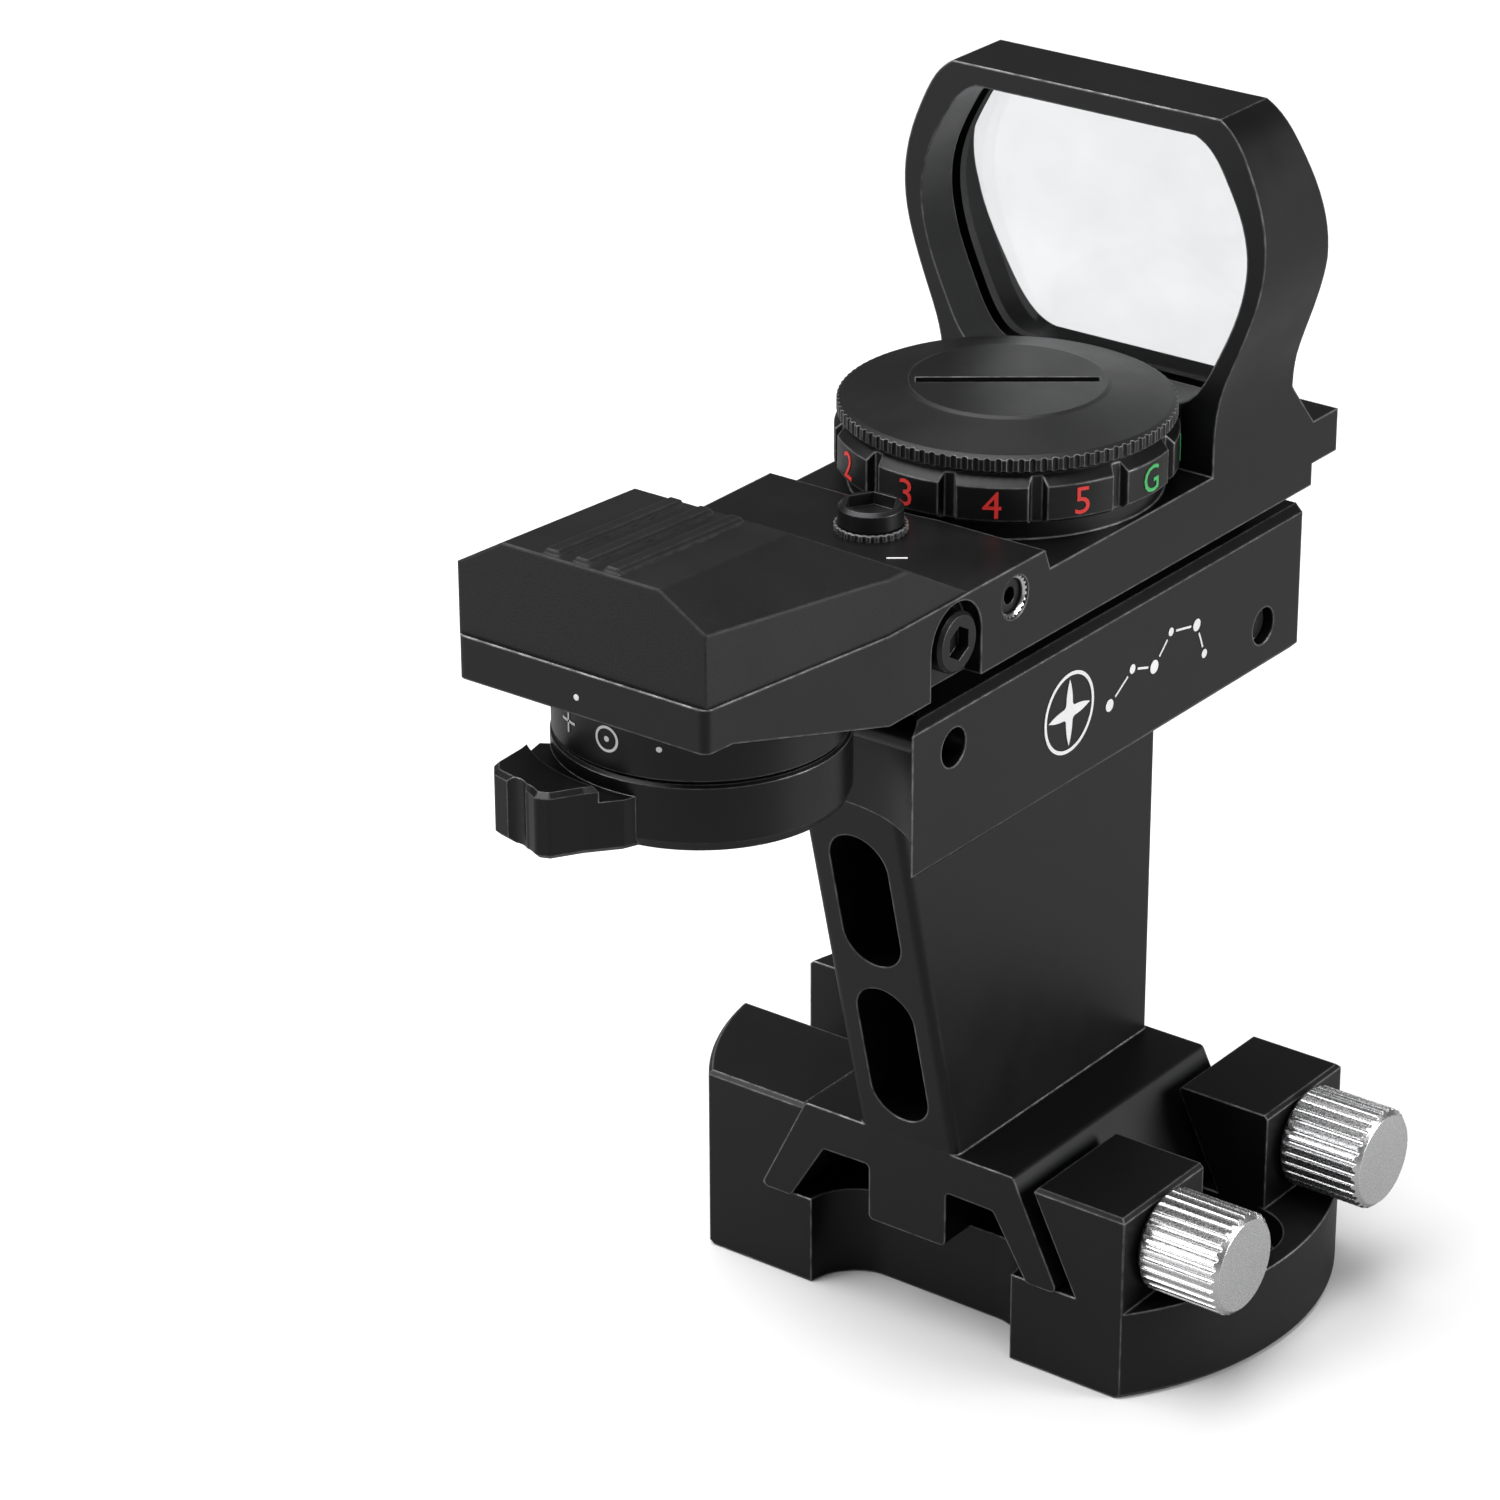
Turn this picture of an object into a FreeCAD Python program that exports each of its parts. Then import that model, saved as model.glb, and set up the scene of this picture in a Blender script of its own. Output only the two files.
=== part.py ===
import FreeCAD, Part
import math
import os

# Reflex finder on a tall dovetail riser, held in a finder shoe.
# Millimetres. Origin: centre of the shoe's middle hole on its underside.
# +Z is up, +Y is the way the finder looks, +X is the thumbscrew side.

V = FreeCAD.Vector

# ---- shoe ----
SHOE_HALF_Y = 17.5
SHOE_END_R = 28.3
FLOOR_Z = 8.4
BLOCK_TOP_Z = 17.7
WING_SLOPE = 2.023
FIXED_JAW_X = 16.1
SCREW_JAW_X = 17.5
SCREW_BLOCK_X = 22.3
WAIST_DEPTH = 4.8
WAIST_FLAT_X = 6.0
CHANNEL_HALF = 5.2
CHANNEL_X = (8.5, 26.6)
CHANNEL_DEPTH = 3.2
SLOT_HALF = 2.6
SLOT_X = (11.2, 22.2)
HOLE_R = 2.7
SINK_R = 5.2
SCREW_Y = 11.35
SCREW_Z = 13.4
EDGE = 0.35

# ---- thumbscrews ----
THREAD_R = 2.0
RUN_GAP = 0.05
TIP_R = 1.6
HEAD_R = 4.6
HEAD_X = (22.45, 30.6)
KNURL_COUNT = 30

# ---- where the finder's own zero lies: rear foot of the riser, on its centre line ----
FINDER_Y = -18.0
FINDER_Z = FLOOR_Z + 0.05

# ---- riser, in the finder's own zero ----
FOOT_LEN = 30.0
FOOT_HALF = 16.0
FOOT_SHOULDER = 11.1
FOOT_H = 9.9
COL_HALF = 5.2
COL_LEAN = 0.25
HEAD_Z = (46.0, 59.8)
HEAD_Y = (-20.0, 39.5)
HEAD_HALF = 13.4
SCOOP_R = 14.2
SCOOP_Y = -23.4
CHANNEL_Z = 54.5
DOVE_LOW = 10.6
DOVE_TOP = 8.6
JAW_X = -9.4
JAW_Z = 47.0
BOLT_R = 1.5
BOLT_AT = ((33.7, 50.3, 12.6), (-12.9, 56.1, 10.6))

# ---- sight frame ----
BASE_HALF = 13.9
BASE_Z = 61.6
DECK_Z = 67.5
REAR_DECK_Z = 69.35
BASE_FRONT = 39.9
STEP_Y = -0.35
KINK_Y = -22.4
REAR_Y = -43.6
REAR_HALF = 12.2
BAND_Z = (66.5, 70.2)
HOOD_Y = 23.85
HOOD_TOP = 98.9

# ---- brightness dial ----
DIAL_Y = 13.4
DIAL_R = 14.5
DIAL_Z = (69.3, 73.4)
CUP_R = 11.05
CAP_R = 14.3
CAP_Z = (73.6, 74.85)
CAP_TEETH = 96
COIN_SLOT_TURN = 37
CAP_TOP = 76.4
CAP_FLAT_R = 8.3

# ---- reticle turret ----
TURRET_Y = -28.5
RING_R = 11.9
RING_Z = (60.5, 66.45)
DISC_R = 12.0
DISC_Z = (54.5, 60.45)
HUB_R = 6.5
CLIP_R = 7.1
RETICLE_ANGLES = (-44, -22, 0, 22)

# ---- emitter cover ----
COVER_SIDE_Z = 75.27
COVER_TOP_Z = 78.9
COVER_TOP_HALF = 7.6
COVER_SINK = 0.0557
COVER_FOOT = (-11.8, 69.4)
COVER_SLOPE = 0.5644
COVER_TOP_FRONT = -27.5
COVER_LEDGE = 0.15
COVER_WALL = 1.3

WINDOW_AT = (0, -21.97, 71.7)
WINDOW_WAY = (0, 0.4915, 0.8709)
WINDOW_R = 2.6

# ---- lens ----
LENS_Y = 28.4
LENS_THICK = 1.6
DIAL_POCKET_R = 14.8
SEAT_STEP = 0.9

# ---- adjusting screws ----
WIND_Y = -13.4
WIND_Z = 65.6
ELEV_Y = -5.9
ELEV_HEAD_R = 2.7


def box(x, y, z):
    return Part.makeBox(x[1] - x[0], y[1] - y[0], z[1] - z[0], V(x[0], y[0], z[0]))


def rod(r, start, axis, length):
    return Part.makeCylinder(r, length, V(*start), V(*axis))


def upright(r, xy, z):
    return rod(r, (xy[0], xy[1], z[0]), (0, 0, 1), z[1] - z[0])


def tube(r_out, r_in, xy, z):
    return upright(r_out, xy, z).cut(upright(r_in, xy, (z[0] - 1, z[1] + 1)))


def face_of(points):
    return Part.Face(Part.makePolygon([V(*p) for p in points] + [V(*points[0])]))


def prism_y(points, y0, y1):
    return face_of([(x, y0, z) for x, z in points]).extrude(V(0, y1 - y0, 0))


def prism_x(points, x0, x1):
    return face_of([(x0, y, z) for y, z in points]).extrude(V(x1 - x0, 0, 0))


def prism_z(points, z0, z1):
    return face_of([(x, y, z0) for x, y in points]).extrude(V(0, 0, z1 - z0))


def turned(profile, centre, axis=(0, 0, 1)):
    # profile: (radius, height) pairs round +Z, then tilted so that +Z points along axis
    solid = face_of([(r, 0, h) for r, h in profile]).revolve(V(0, 0, 0), V(0, 0, 1), 360)
    spin = FreeCAD.Rotation(V(0, 0, 1), V(*axis))
    solid.Placement = FreeCAD.Placement(V(*centre), spin)
    return solid


def slot_x(x, half, z):
    # a straight slot along X with round ends, upright walls
    body = box((x[0] + half, x[1] - half), (-half, half), z)
    return body.fuse([upright(half, (x[0] + half, 0), z), upright(half, (x[1] - half, 0), z)])


def slot_z(z, half, y):
    # an upright slot with round ends, cut along Y
    body = box((-half, half), y, (z[0] + half, z[1] - half))
    ends = [rod(half, (0, y[0], h), (0, 1, 0), y[1] - y[0]) for h in (z[0] + half, z[1] - half)]
    return body.fuse(ends)


def round_edges(shape, radius, wanted):
    edges = [e for e in shape.Edges if wanted(e)]
    return shape.makeFillet(radius, edges)


def bevel_edges(shape, size, wanted):
    edges = [e for e in shape.Edges if wanted(e)]
    return shape.makeChamfer(size, edges)


def ends(edge):
    return [v.Point for v in edge.Vertexes]


def runs_along(edge, axis):
    pts = ends(edge)
    if len(pts) < 2 or edge.Curve.TypeId != "Part::GeomLine":
        return False
    d = pts[1] - pts[0]
    return abs(getattr(d, axis)) > 0.999 * d.Length


def mirror_x(shape):
    return shape.mirror(V(0, 0, 0), V(1, 0, 0))


def lift(shape):
    # from the finder's own zero to the origin on the shoe
    shape.translate(V(0, FINDER_Y, FINDER_Z))
    return shape


def save(name, shape):
    shape = shape.removeSplitter() if len(shape.Solids) == 1 else shape
    shape.exportStep("parts/" + name + ".step")


# ---------------- shoe ----------------

def shoe():
    rise = BLOCK_TOP_Z - FLOOR_Z
    run = rise / WING_SLOPE
    c = EDGE
    profile = [
        (-30, 0), (30, 0), (30, FLOOR_Z), (SCREW_BLOCK_X, FLOOR_Z), (SCREW_BLOCK_X, BLOCK_TOP_Z - c),
        (SCREW_BLOCK_X - c, BLOCK_TOP_Z), (SCREW_JAW_X - run + c, BLOCK_TOP_Z),
        (SCREW_JAW_X - run + c * 0.3, BLOCK_TOP_Z - c), (SCREW_JAW_X, FLOOR_Z),
        (-FIXED_JAW_X, FLOOR_Z), (-FIXED_JAW_X + run - c * 0.3, BLOCK_TOP_Z - c),
        (-FIXED_JAW_X + run - c, BLOCK_TOP_Z), (-30, BLOCK_TOP_Z),
    ]
    body = prism_y(profile, -SHOE_HALF_Y, SHOE_HALF_Y)
    round_plan = [
        (0, 0), (SHOE_END_R - c, 0), (SHOE_END_R, c), (SHOE_END_R, BLOCK_TOP_Z - c),
        (SHOE_END_R - c, BLOCK_TOP_Z), (0, BLOCK_TOP_Z),
    ]
    y = SHOE_HALF_Y
    side_plan = [
        (-y, 0), (y, 0), (y, BLOCK_TOP_Z - c), (y - c, BLOCK_TOP_Z), (-y + c, BLOCK_TOP_Z),
        (-y, BLOCK_TOP_Z - c),
    ]
    disc = turned(round_plan, (0, 0, 0))
    disc.rotate(V(0, 0, 0), V(0, 0, 1), 90)
    body = body.common(disc).common(prism_x(side_plan, -30, 30))
    cuts = []
    for side in (1, -1):
        y0 = side * SHOE_HALF_Y
        y1 = y0 - side * WAIST_DEPTH
        cuts.append(box((-WAIST_FLAT_X, WAIST_FLAT_X), sorted((y0 + side, y1)), (-1, FLOOR_Z + 1)))
        for x in (-WAIST_FLAT_X, WAIST_FLAT_X):
            cuts.append(upright(WAIST_DEPTH, (x, y0), (-1, FLOOR_Z + 1)))
    channel = slot_x(CHANNEL_X, CHANNEL_HALF, (FLOOR_Z - CHANNEL_DEPTH, BLOCK_TOP_Z + 1))
    gap = box((11, 30), (-CHANNEL_HALF, CHANNEL_HALF), (FLOOR_Z, BLOCK_TOP_Z + 1))
    slot = slot_x(SLOT_X, SLOT_HALF, (-1, FLOOR_Z))
    for piece in (channel, gap, slot):
        cuts.append(piece)
        cuts.append(mirror_x(piece))
    cuts.append(upright(HOLE_R, (0, 0), (-1, FLOOR_Z + 1)))
    sink = SINK_R - HOLE_R
    cuts.append(Part.makeCone(HOLE_R, SINK_R, sink, V(0, 0, FLOOR_Z - sink)))
    for y in (-SCREW_Y, SCREW_Y):
        cuts.append(rod(THREAD_R + RUN_GAP, (10, y, SCREW_Z), (1, 0, 0), 15))
    return body.cut(cuts)


def thumb_shank(y):
    # rounded tip, thread and the core inside the head, along +X
    wing_x = FOOT_HALF - (SCREW_Z - FINDER_Z) / WING_SLOPE
    tilt = math.sin(math.atan(WING_SLOPE))
    tip_x = wing_x + (TIP_R + 0.05) / tilt
    start = tip_x + 0.8
    ball = Part.makeSphere(TIP_R, V(tip_x, y, SCREW_Z))
    neck = rod(TIP_R, (tip_x, y, SCREW_Z), (1, 0, 0), 1.2)
    profile = [(0, start), (THREAD_R - 0.3, start), (THREAD_R, start + 0.3)]
    profile += [(THREAD_R, HEAD_X[1] - 1.6), (0, HEAD_X[1] - 1.6)]
    thread = turned(profile, (0, y, SCREW_Z), (1, 0, 0))
    return ball.fuse([neck, thread])


def thumb_head(y):
    length = HEAD_X[1] - HEAD_X[0]
    profile = [
        (0, 0), (HEAD_R - 0.5, 0), (HEAD_R, 0.5), (HEAD_R, length - 0.5),
        (HEAD_R - 0.5, length), (0, length),
    ]
    head = turned(profile, (HEAD_X[0], y, SCREW_Z), (1, 0, 0))
    cuts = [rod(THREAD_R + RUN_GAP, (HEAD_X[0] - 1, y, SCREW_Z), (1, 0, 0), length - 0.5)]
    for i in range(KNURL_COUNT):
        a = 2 * math.pi * (i + 0.5) / KNURL_COUNT
        at = (HEAD_X[0] - 1, y + (HEAD_R + 0.12) * math.cos(a), SCREW_Z + (HEAD_R + 0.12) * math.sin(a))
        cuts.append(rod(0.34, at, (1, 0, 0), length + 2))
    return head.cut(cuts)


# ---------------- riser and its clamp ----------------

def foot():
    right = [(0, 0.6), (4.1, 0.6), (4.1, 6.0), (9.1, 5.9), (12.7, 0), (FOOT_HALF, 0)]
    right += [(FOOT_SHOULDER, FOOT_H), (0, FOOT_H)]
    half = prism_y(right, 0, FOOT_LEN)
    whole = half.fuse(mirror_x(half)).removeSplitter()
    return round_edges(whole, 0.5, lambda e: runs_along(e, "y"))


def column():
    top = HEAD_Z[0] + 1
    lean = COL_LEAN * (top - FOOT_H)
    profile = [(COL_LEAN * 1.0, FOOT_H - 1), (FOOT_LEN, FOOT_H - 1), (FOOT_LEN, top), (-lean, top)]
    body = prism_x(profile, -COL_HALF, COL_HALF)

    def corner(e):
        pts = ends(e)
        return abs(pts[0].z - pts[1].z) > 20

    return round_edges(body, 0.8, corner)


def riser():
    head = box((-HEAD_HALF, HEAD_HALF), HEAD_Y, HEAD_Z)
    head = bevel_edges(head, 0.7, lambda e: runs_along(e, "y"))
    body = head.fuse([column(), foot()]).removeSplitter()
    y = (HEAD_Y[0] - 1, HEAD_Y[1] + 1)
    channel = [
        (JAW_X - 1, CHANNEL_Z), (DOVE_LOW, CHANNEL_Z), (DOVE_TOP, HEAD_Z[1]), (DOVE_TOP, HEAD_Z[1] + 1),
        (JAW_X - 1, HEAD_Z[1] + 1),
    ]
    cuts = [prism_y(channel, *y), box((-HEAD_HALF - 1, JAW_X), y, (JAW_Z, HEAD_Z[1] + 1))]
    cuts.append(upright(SCOOP_R, (0, SCOOP_Y), (40, HEAD_Z[1] + 1)))
    cuts.append(slot_z((28.9, 42.4), 3.0, (-15, 40)))
    cuts.append(slot_z((12.1, 26.3), 3.0, (-15, 40)))
    for by, bz, end in BOLT_AT:
        cuts.append(rod(BOLT_R, (JAW_X - 1, by, bz), (1, 0, 0), 30))
        cuts.append(rod(1.7, (end - 0.4, by, bz), (1, 0, 0), 10))
    return body.cut(cuts)


def clamp_jaw():
    profile = [
        (-HEAD_HALF, JAW_Z), (JAW_X, JAW_Z), (JAW_X, CHANNEL_Z), (-DOVE_LOW, CHANNEL_Z),
        (-DOVE_TOP, HEAD_Z[1]), (-HEAD_HALF + 0.7, HEAD_Z[1]), (-HEAD_HALF, HEAD_Z[1] - 0.7),
    ]
    body = prism_y(profile, HEAD_Y[0], HEAD_Y[1])
    cuts = [upright(SCOOP_R, (0, SCOOP_Y), (40, HEAD_Z[1] + 1))]
    for by, bz, end in BOLT_AT:
        cuts.append(rod(BOLT_R, (-HEAD_HALF - 1, by, bz), (1, 0, 0), 8))
        cuts.append(rod(2.7, (-HEAD_HALF - 1, by, bz), (1, 0, 0), 3.1))
    return body.cut(cuts)


def socket_screw(r, length, head_r, head_len, hex_across, tip, axis):
    # cap screw with a hexagon socket; tip is the far end of the thread, axis points to the head
    profile = [(0, 0), (r - 0.25, 0), (r, 0.25), (r, length), (head_r, length)]
    profile += [(head_r, length + head_len - 0.3), (head_r - 0.3, length + head_len), (0, length + head_len)]
    body = turned(profile, (0, 0, 0))
    hexagon = [
        (hex_across / math.sqrt(3) * math.cos(math.radians(60 * i)),
         hex_across / math.sqrt(3) * math.sin(math.radians(60 * i)))
        for i in range(6)
    ]
    socket = prism_z(hexagon, length + head_len * 0.35, length + head_len + 1)
    body = body.cut(socket)
    body.Placement = FreeCAD.Placement(V(*tip), FreeCAD.Rotation(V(0, 0, 1), V(*axis)))
    return body


def cross_bolts():
    seat = -HEAD_HALF + 2.1
    return [
        socket_screw(BOLT_R, end - seat, 2.6, 1.9, 2.5, (end, by, bz), (-1, 0, 0))
        for by, bz, end in BOLT_AT
    ]


# ---------------- sight frame ----------------

HOOD_SIDE = [
    (13.4, 98.9), (14.9, 97.6), (16.4, 95.0), (17.6, 91.9), (18.2, 88.6), (18.0, 85.2), (17.0, 81.6),
    (15.6, 78.0), (14.5, 75.0), (14.0, 72.2), (13.9, 70.2),
]
OPEN_SIDE = [
    (11.0, 97.1), (12.6, 96.1), (14.2, 93.8), (15.6, 91.0), (16.4, 88.0), (16.3, 84.8), (15.3, 81.2),
    (13.8, 77.8), (12.4, 75.2), (11.1, 73.8), (9.6, 73.2),
]


def grown(side, by):
    # the same run of points moved outwards by a set distance
    out = []
    for i, (x, z) in enumerate(side):
        a = side[max(i - 1, 0)]
        b = side[min(i + 1, len(side) - 1)]
        dx, dz = b[0] - a[0], b[1] - a[1]
        size = math.hypot(dx, dz)
        out.append((x - by * dz / size, z + by * dx / size))
    return out


def curved_face(side, bottom, y):
    # flat top, one smooth curve down each side, then straight lines through the bottom points
    right = Part.BSplineCurve()
    right.interpolate([V(x, y, z) for x, z in side])
    left = Part.BSplineCurve()
    left.interpolate([V(-x, y, z) for x, z in side])
    x0, z0 = side[0]
    low = [side[-1]] + bottom
    run = [V(x, y, z) for x, z in low] + [V(-x, y, z) for x, z in reversed(low)]
    edges = [Part.makeLine(V(-x0, y, z0), V(x0, y, z0)), right.toShape(), left.toShape()]
    for a, b in zip(run[:-1], run[1:]):
        if (a - b).Length > 1e-6:
            edges.append(Part.makeLine(a, b))
    return Part.Face(Part.Wire(Part.__sortEdges__(edges)))


def hood():
    block = curved_face(HOOD_SIDE, [(BASE_HALF, BASE_Z + 2)], HOOD_Y).extrude(V(0, 20, 0))
    sight = curved_face(OPEN_SIDE, [], HOOD_Y - 1).extrude(V(0, 22, 0))
    seat = curved_face(grown(OPEN_SIDE, SEAT_STEP), [], LENS_Y).extrude(V(0, 22, 0))
    slope = [
        (31.0, 101), (31.0, HOOD_TOP), (34.2, 85), (36.0, 72), (BASE_FRONT, DECK_Z), (45, DECK_Z),
        (45, 101),
    ]
    return block.cut([sight, seat, prism_x(slope, -30, 30)])


def side_taper(z):
    # wedges that narrow the rear of the sight towards the back
    wedge = [
        (BASE_HALF, KINK_Y), (REAR_HALF, REAR_Y), (REAR_HALF, REAR_Y - 1), (20, REAR_Y - 1), (20, KINK_Y),
    ]
    right = prism_z(wedge, z[0], z[1])
    return [right, mirror_x(right)]


def tongue():
    rear = -8.4
    profile = [
        (-DOVE_TOP, HEAD_Z[1]), (-DOVE_LOW, CHANNEL_Z), (DOVE_LOW, CHANNEL_Z), (DOVE_TOP, HEAD_Z[1]),
        (DOVE_TOP, BASE_Z + 0.5), (-DOVE_TOP, BASE_Z + 0.5),
    ]
    return prism_y(profile, rear, BASE_FRONT - 1.5)


def emitter_cavities():
    return [
        box((-5.2, 5.2), (-15.7, -11.1), (BASE_Z - 1, 68.7)),
        box((-2.9, 2.9), (-11.2, -2.4), (62.6, 68.7)),
        box((-2.9, 2.9), (-22.2, -15.6), (67.1, 68.8)),
        box((-11, 11), (-22.2, -19.6), (68.0, 71)),
        box((8.1, 10.9), (-31.3, -19.6), (68.0, 71)),
        box((-10.9, -8.1), (-31.3, -19.6), (68.0, 71)),
        box((-6.4, 6.4), (-15.9, -9.0), (BASE_Z - 1, BASE_Z + 0.8)),
    ]


def sight_frame():
    profile = [
        (BASE_FRONT, BASE_Z), (KINK_Y, BASE_Z), (REAR_Y + 3, BAND_Z[0]), (REAR_Y, BAND_Z[0]),
        (REAR_Y, BAND_Z[1]), (KINK_Y, REAR_DECK_Z), (STEP_Y - 0.75, REAR_DECK_Z), (STEP_Y, DECK_Z),
        (BASE_FRONT, DECK_Z),
    ]
    base = prism_x(profile, -BASE_HALF, BASE_HALF)
    base = base.cut(side_taper((BASE_Z - 1, BAND_Z[1] + 1)))
    base = round_edges(base, 0.8, lambda e: runs_along(e, "z") and e.BoundBox.YMax < REAR_Y + 0.1)
    boss = upright(13.3, (0, DIAL_Y), (DECK_Z - 1, 69.15))
    body = base.fuse([hood(), tongue(), boss]).removeSplitter()
    cuts = emitter_cavities()
    cuts.append(upright(12.25, (0, TURRET_Y), (BASE_Z - 1, BAND_Z[0])))
    cuts.append(upright(HUB_R + RUN_GAP, (0, TURRET_Y), (BAND_Z[0] - 1, 71)))
    cuts.append(upright(11.6, (0, DIAL_Y), (64.4, 70)))
    cuts.append(upright(DIAL_POCKET_R, (0, DIAL_Y), (69.15, 77)))
    cuts.append(upright(4.0 + RUN_GAP, (0, DIAL_Y), (60, 70)))
    cuts.append(upright(6.4, (0, DIAL_Y), (CHANNEL_Z - 1, 62.6)))
    cuts.append(rod(3.45, (12.2, WIND_Y, WIND_Z), (1, 0, 0), 5))
    cuts.append(box((12.2, 17), (WIND_Y - 3.45, WIND_Y + 3.45), (BASE_Z - 1, WIND_Z)))
    cuts.append(rod(1.25 + RUN_GAP, (3, WIND_Y, WIND_Z), (1, 0, 0), 12))
    cuts.append(rod(1.5, (9.4, -5.3, 66.7), (1, 0, 0), 6))
    cuts.append(Part.makeCone(1.5, 1.9, 0.4, V(BASE_HALF - 0.4, -5.3, 66.7), V(1, 0, 0)))
    cuts.append(upright(2.2, (0, ELEV_Y), (68, 70)))
    cuts.append(upright(0.65, (0, DIAL_Y - 12.45), (66.0, 70)))
    cuts.append(upright(0.85, (0, TURRET_Y - 9.3), (66.0, 69.4)))
    for x in (-10.2, 10.2):
        cuts.append(upright(0.8, (x, -41.2), (66, 71)))
        cuts.append(upright(1.5, (x, -41.2), (66, 67.7)))
    return body.cut(cuts)


def lens():
    face = curved_face(grown(OPEN_SIDE, SEAT_STEP - 0.05), [], LENS_Y)
    return face.extrude(V(0, LENS_THICK, 0))


def lens_retainer():
    y = LENS_Y + LENS_THICK
    outer = curved_face(grown(OPEN_SIDE, SEAT_STEP), [], y).extrude(V(0, 0.9, 0))
    inner = curved_face(grown(OPEN_SIDE, -0.2), [], y - 1).extrude(V(0, 3, 0))
    return outer.cut(inner)


# ---------------- emitter housing ----------------

def cover_block(inset, drop, rear, bottom):
    # roof-shaped bar that sinks a little towards the front and ends in one long slope
    half = BASE_HALF - inset
    side = COVER_SIDE_Z - drop * 0.9
    top_half = COVER_TOP_HALF - drop * 0.3
    profile = [
        (-half, bottom), (half, bottom), (half, side), (top_half, COVER_TOP_Z - drop),
        (-top_half, COVER_TOP_Z - drop), (-half, side),
    ]
    length = COVER_FOOT[0] + 3 - rear
    block = face_of([(x, rear, z) for x, z in profile]).extrude(V(0, length, -COVER_SINK * length))
    foot_y = COVER_FOOT[0] - drop * 2.04
    low, high = 60, 90
    slope = [
        (foot_y - (low - COVER_FOOT[1]) / COVER_SLOPE, low),
        (foot_y - (high - COVER_FOOT[1]) / COVER_SLOPE, high), (20, high), (20, low),
    ]
    return block.cut(prism_x(slope, -20, 20))


def cover_taper(block, inset, z):
    wedges = side_taper(z)
    for wedge, way in zip(wedges, (-1, 1)):
        wedge.translate(V(way * inset, 0, 0))
    return block.cut(wedges)


def cover_rib(x):
    # one raised grip line, which sinks with the top
    rear = REAR_Y + 0.7
    length = COVER_TOP_FRONT - 0.1 - rear
    z0 = COVER_TOP_Z - COVER_SINK * (rear - REAR_Y) - 0.3
    z1 = z0 + 0.75
    profile = [(-0.8, z0), (0.8, z0), (0.8, z1 - 0.3), (0.5, z1), (-0.5, z1), (-0.8, z1 - 0.3)]
    face = face_of([(x + dx, rear, z) for dx, z in profile])
    return face.extrude(V(0, length, -COVER_SINK * length))


def emitter_cover():
    low = BAND_Z[1] - 1.2
    block = cover_block(COVER_LEDGE, 0, REAR_Y + 0.25, low)
    block = round_edges(
        block, 0.5,
        lambda e: abs(e.BoundBox.XLength) < 0.01 and e.BoundBox.YLength > 10 and e.BoundBox.ZMin > 73,
    )
    block = cover_taper(block, COVER_LEDGE, (low - 1, COVER_TOP_Z + 1))
    hollow = cover_block(COVER_LEDGE + COVER_WALL, COVER_WALL, REAR_Y + 1.55, low - 1)
    hollow = cover_taper(hollow, COVER_LEDGE + COVER_WALL, (low - 2, COVER_TOP_Z + 1))
    ribs = [cover_rib(x) for x in (-3.05, -0.1, 2.85)]
    posts = [upright(1.7, (x, -41.2), (low, 75.3)) for x in (-10.2, 10.2)]
    block = block.cut(hollow).fuse(ribs + posts).removeSplitter()
    bed = [
        (REAR_Y - 2, BAND_Z[1] + 0.08), (KINK_Y, REAR_DECK_Z), (-5, REAR_DECK_Z), (-5, low - 3),
        (REAR_Y - 2, low - 3),
    ]
    cuts = [prism_x(bed, -20, 20)]
    for x in (-10.2, 10.2):
        cuts.append(upright(0.8, (x, -41.2), (low - 1, 74)))
    cuts.append(rod(WINDOW_R, WINDOW_AT, WINDOW_WAY, 8))
    return cover_taper(block.cut(cuts), COVER_LEDGE, (low - 1, COVER_TOP_Z + 1))


def emitter_window():
    x, y, z = WINDOW_AT
    depth = 1.8
    start = (x, y + depth * WINDOW_WAY[1], z + depth * WINDOW_WAY[2])
    return rod(WINDOW_R, start, WINDOW_WAY, 0.8)


def cover_screws():
    out = []
    for x in (-10.2, 10.2):
        out.append(socket_screw(0.8, 5.8, 1.5, 0.9, 1.3, (x, -41.2, 73.5), (0, 0, -1)))
    return out


def emitter_yoke():
    parts = [
        box((-2.0, 2.0), (-21.6, -3.2), (67.5, 68.4)),
        box((-2.0, 2.0), (-14.4, -12.4), (66.7, 68.4)),
        box((-10.2, 10.2), (-21.6, -20.2), (68.4, 69.2)),
    ]
    for x in ((8.8, 10.2), (-10.2, -8.8)):
        parts.append(box(x, (-30.6, -20.2), (68.4, 69.2)))
        parts.append(box(x, (-30.6, -28.6), (68.4, 75.0)))
    parts.append(box((-10.2, 10.2), (-30.6, -28.6), (74.3, 75.0)))
    body = parts[0].fuse(parts[1:])
    cuts = [rod(0.6, (-5, WIND_Y, 67.4), (1, 0, 0), 10)]
    # the bridge's top corners are bevelled to clear the roof of the cover
    for way in (-1, 1):
        bevel = [(9.0, 75.0), (9.0, 75.2), (10.4, 75.2), (10.4, 73.6)]
        cuts.append(prism_y([(way * x, z) for x, z in bevel], -31, -28))
    return body.cut(cuts)


def led_board():
    return box((-2.2, 2.2), (-28.6, -28.0), (71.6, 75.0))


def led():
    body = rod(0.8, (0, -28.0, 72.9), (0, 1, 0), 0.8)
    return body.fuse(Part.makeSphere(0.8, V(0, -27.2, 72.9)))


def windage_block():
    body = box((-4, 4), (-15.5, -11.3), (62.9, 68.5))
    cuts = [
        box((-2.1, 2.1), (-16, -11), (66.4, 69)),
        rod(1.25 + RUN_GAP, (2.4, WIND_Y, WIND_Z), (1, 0, 0), 5),
        rod(0.6, (-3.6, WIND_Y, 67.4), (1, 0, 0), 7.2),
    ]
    return body.cut(cuts)


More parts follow.
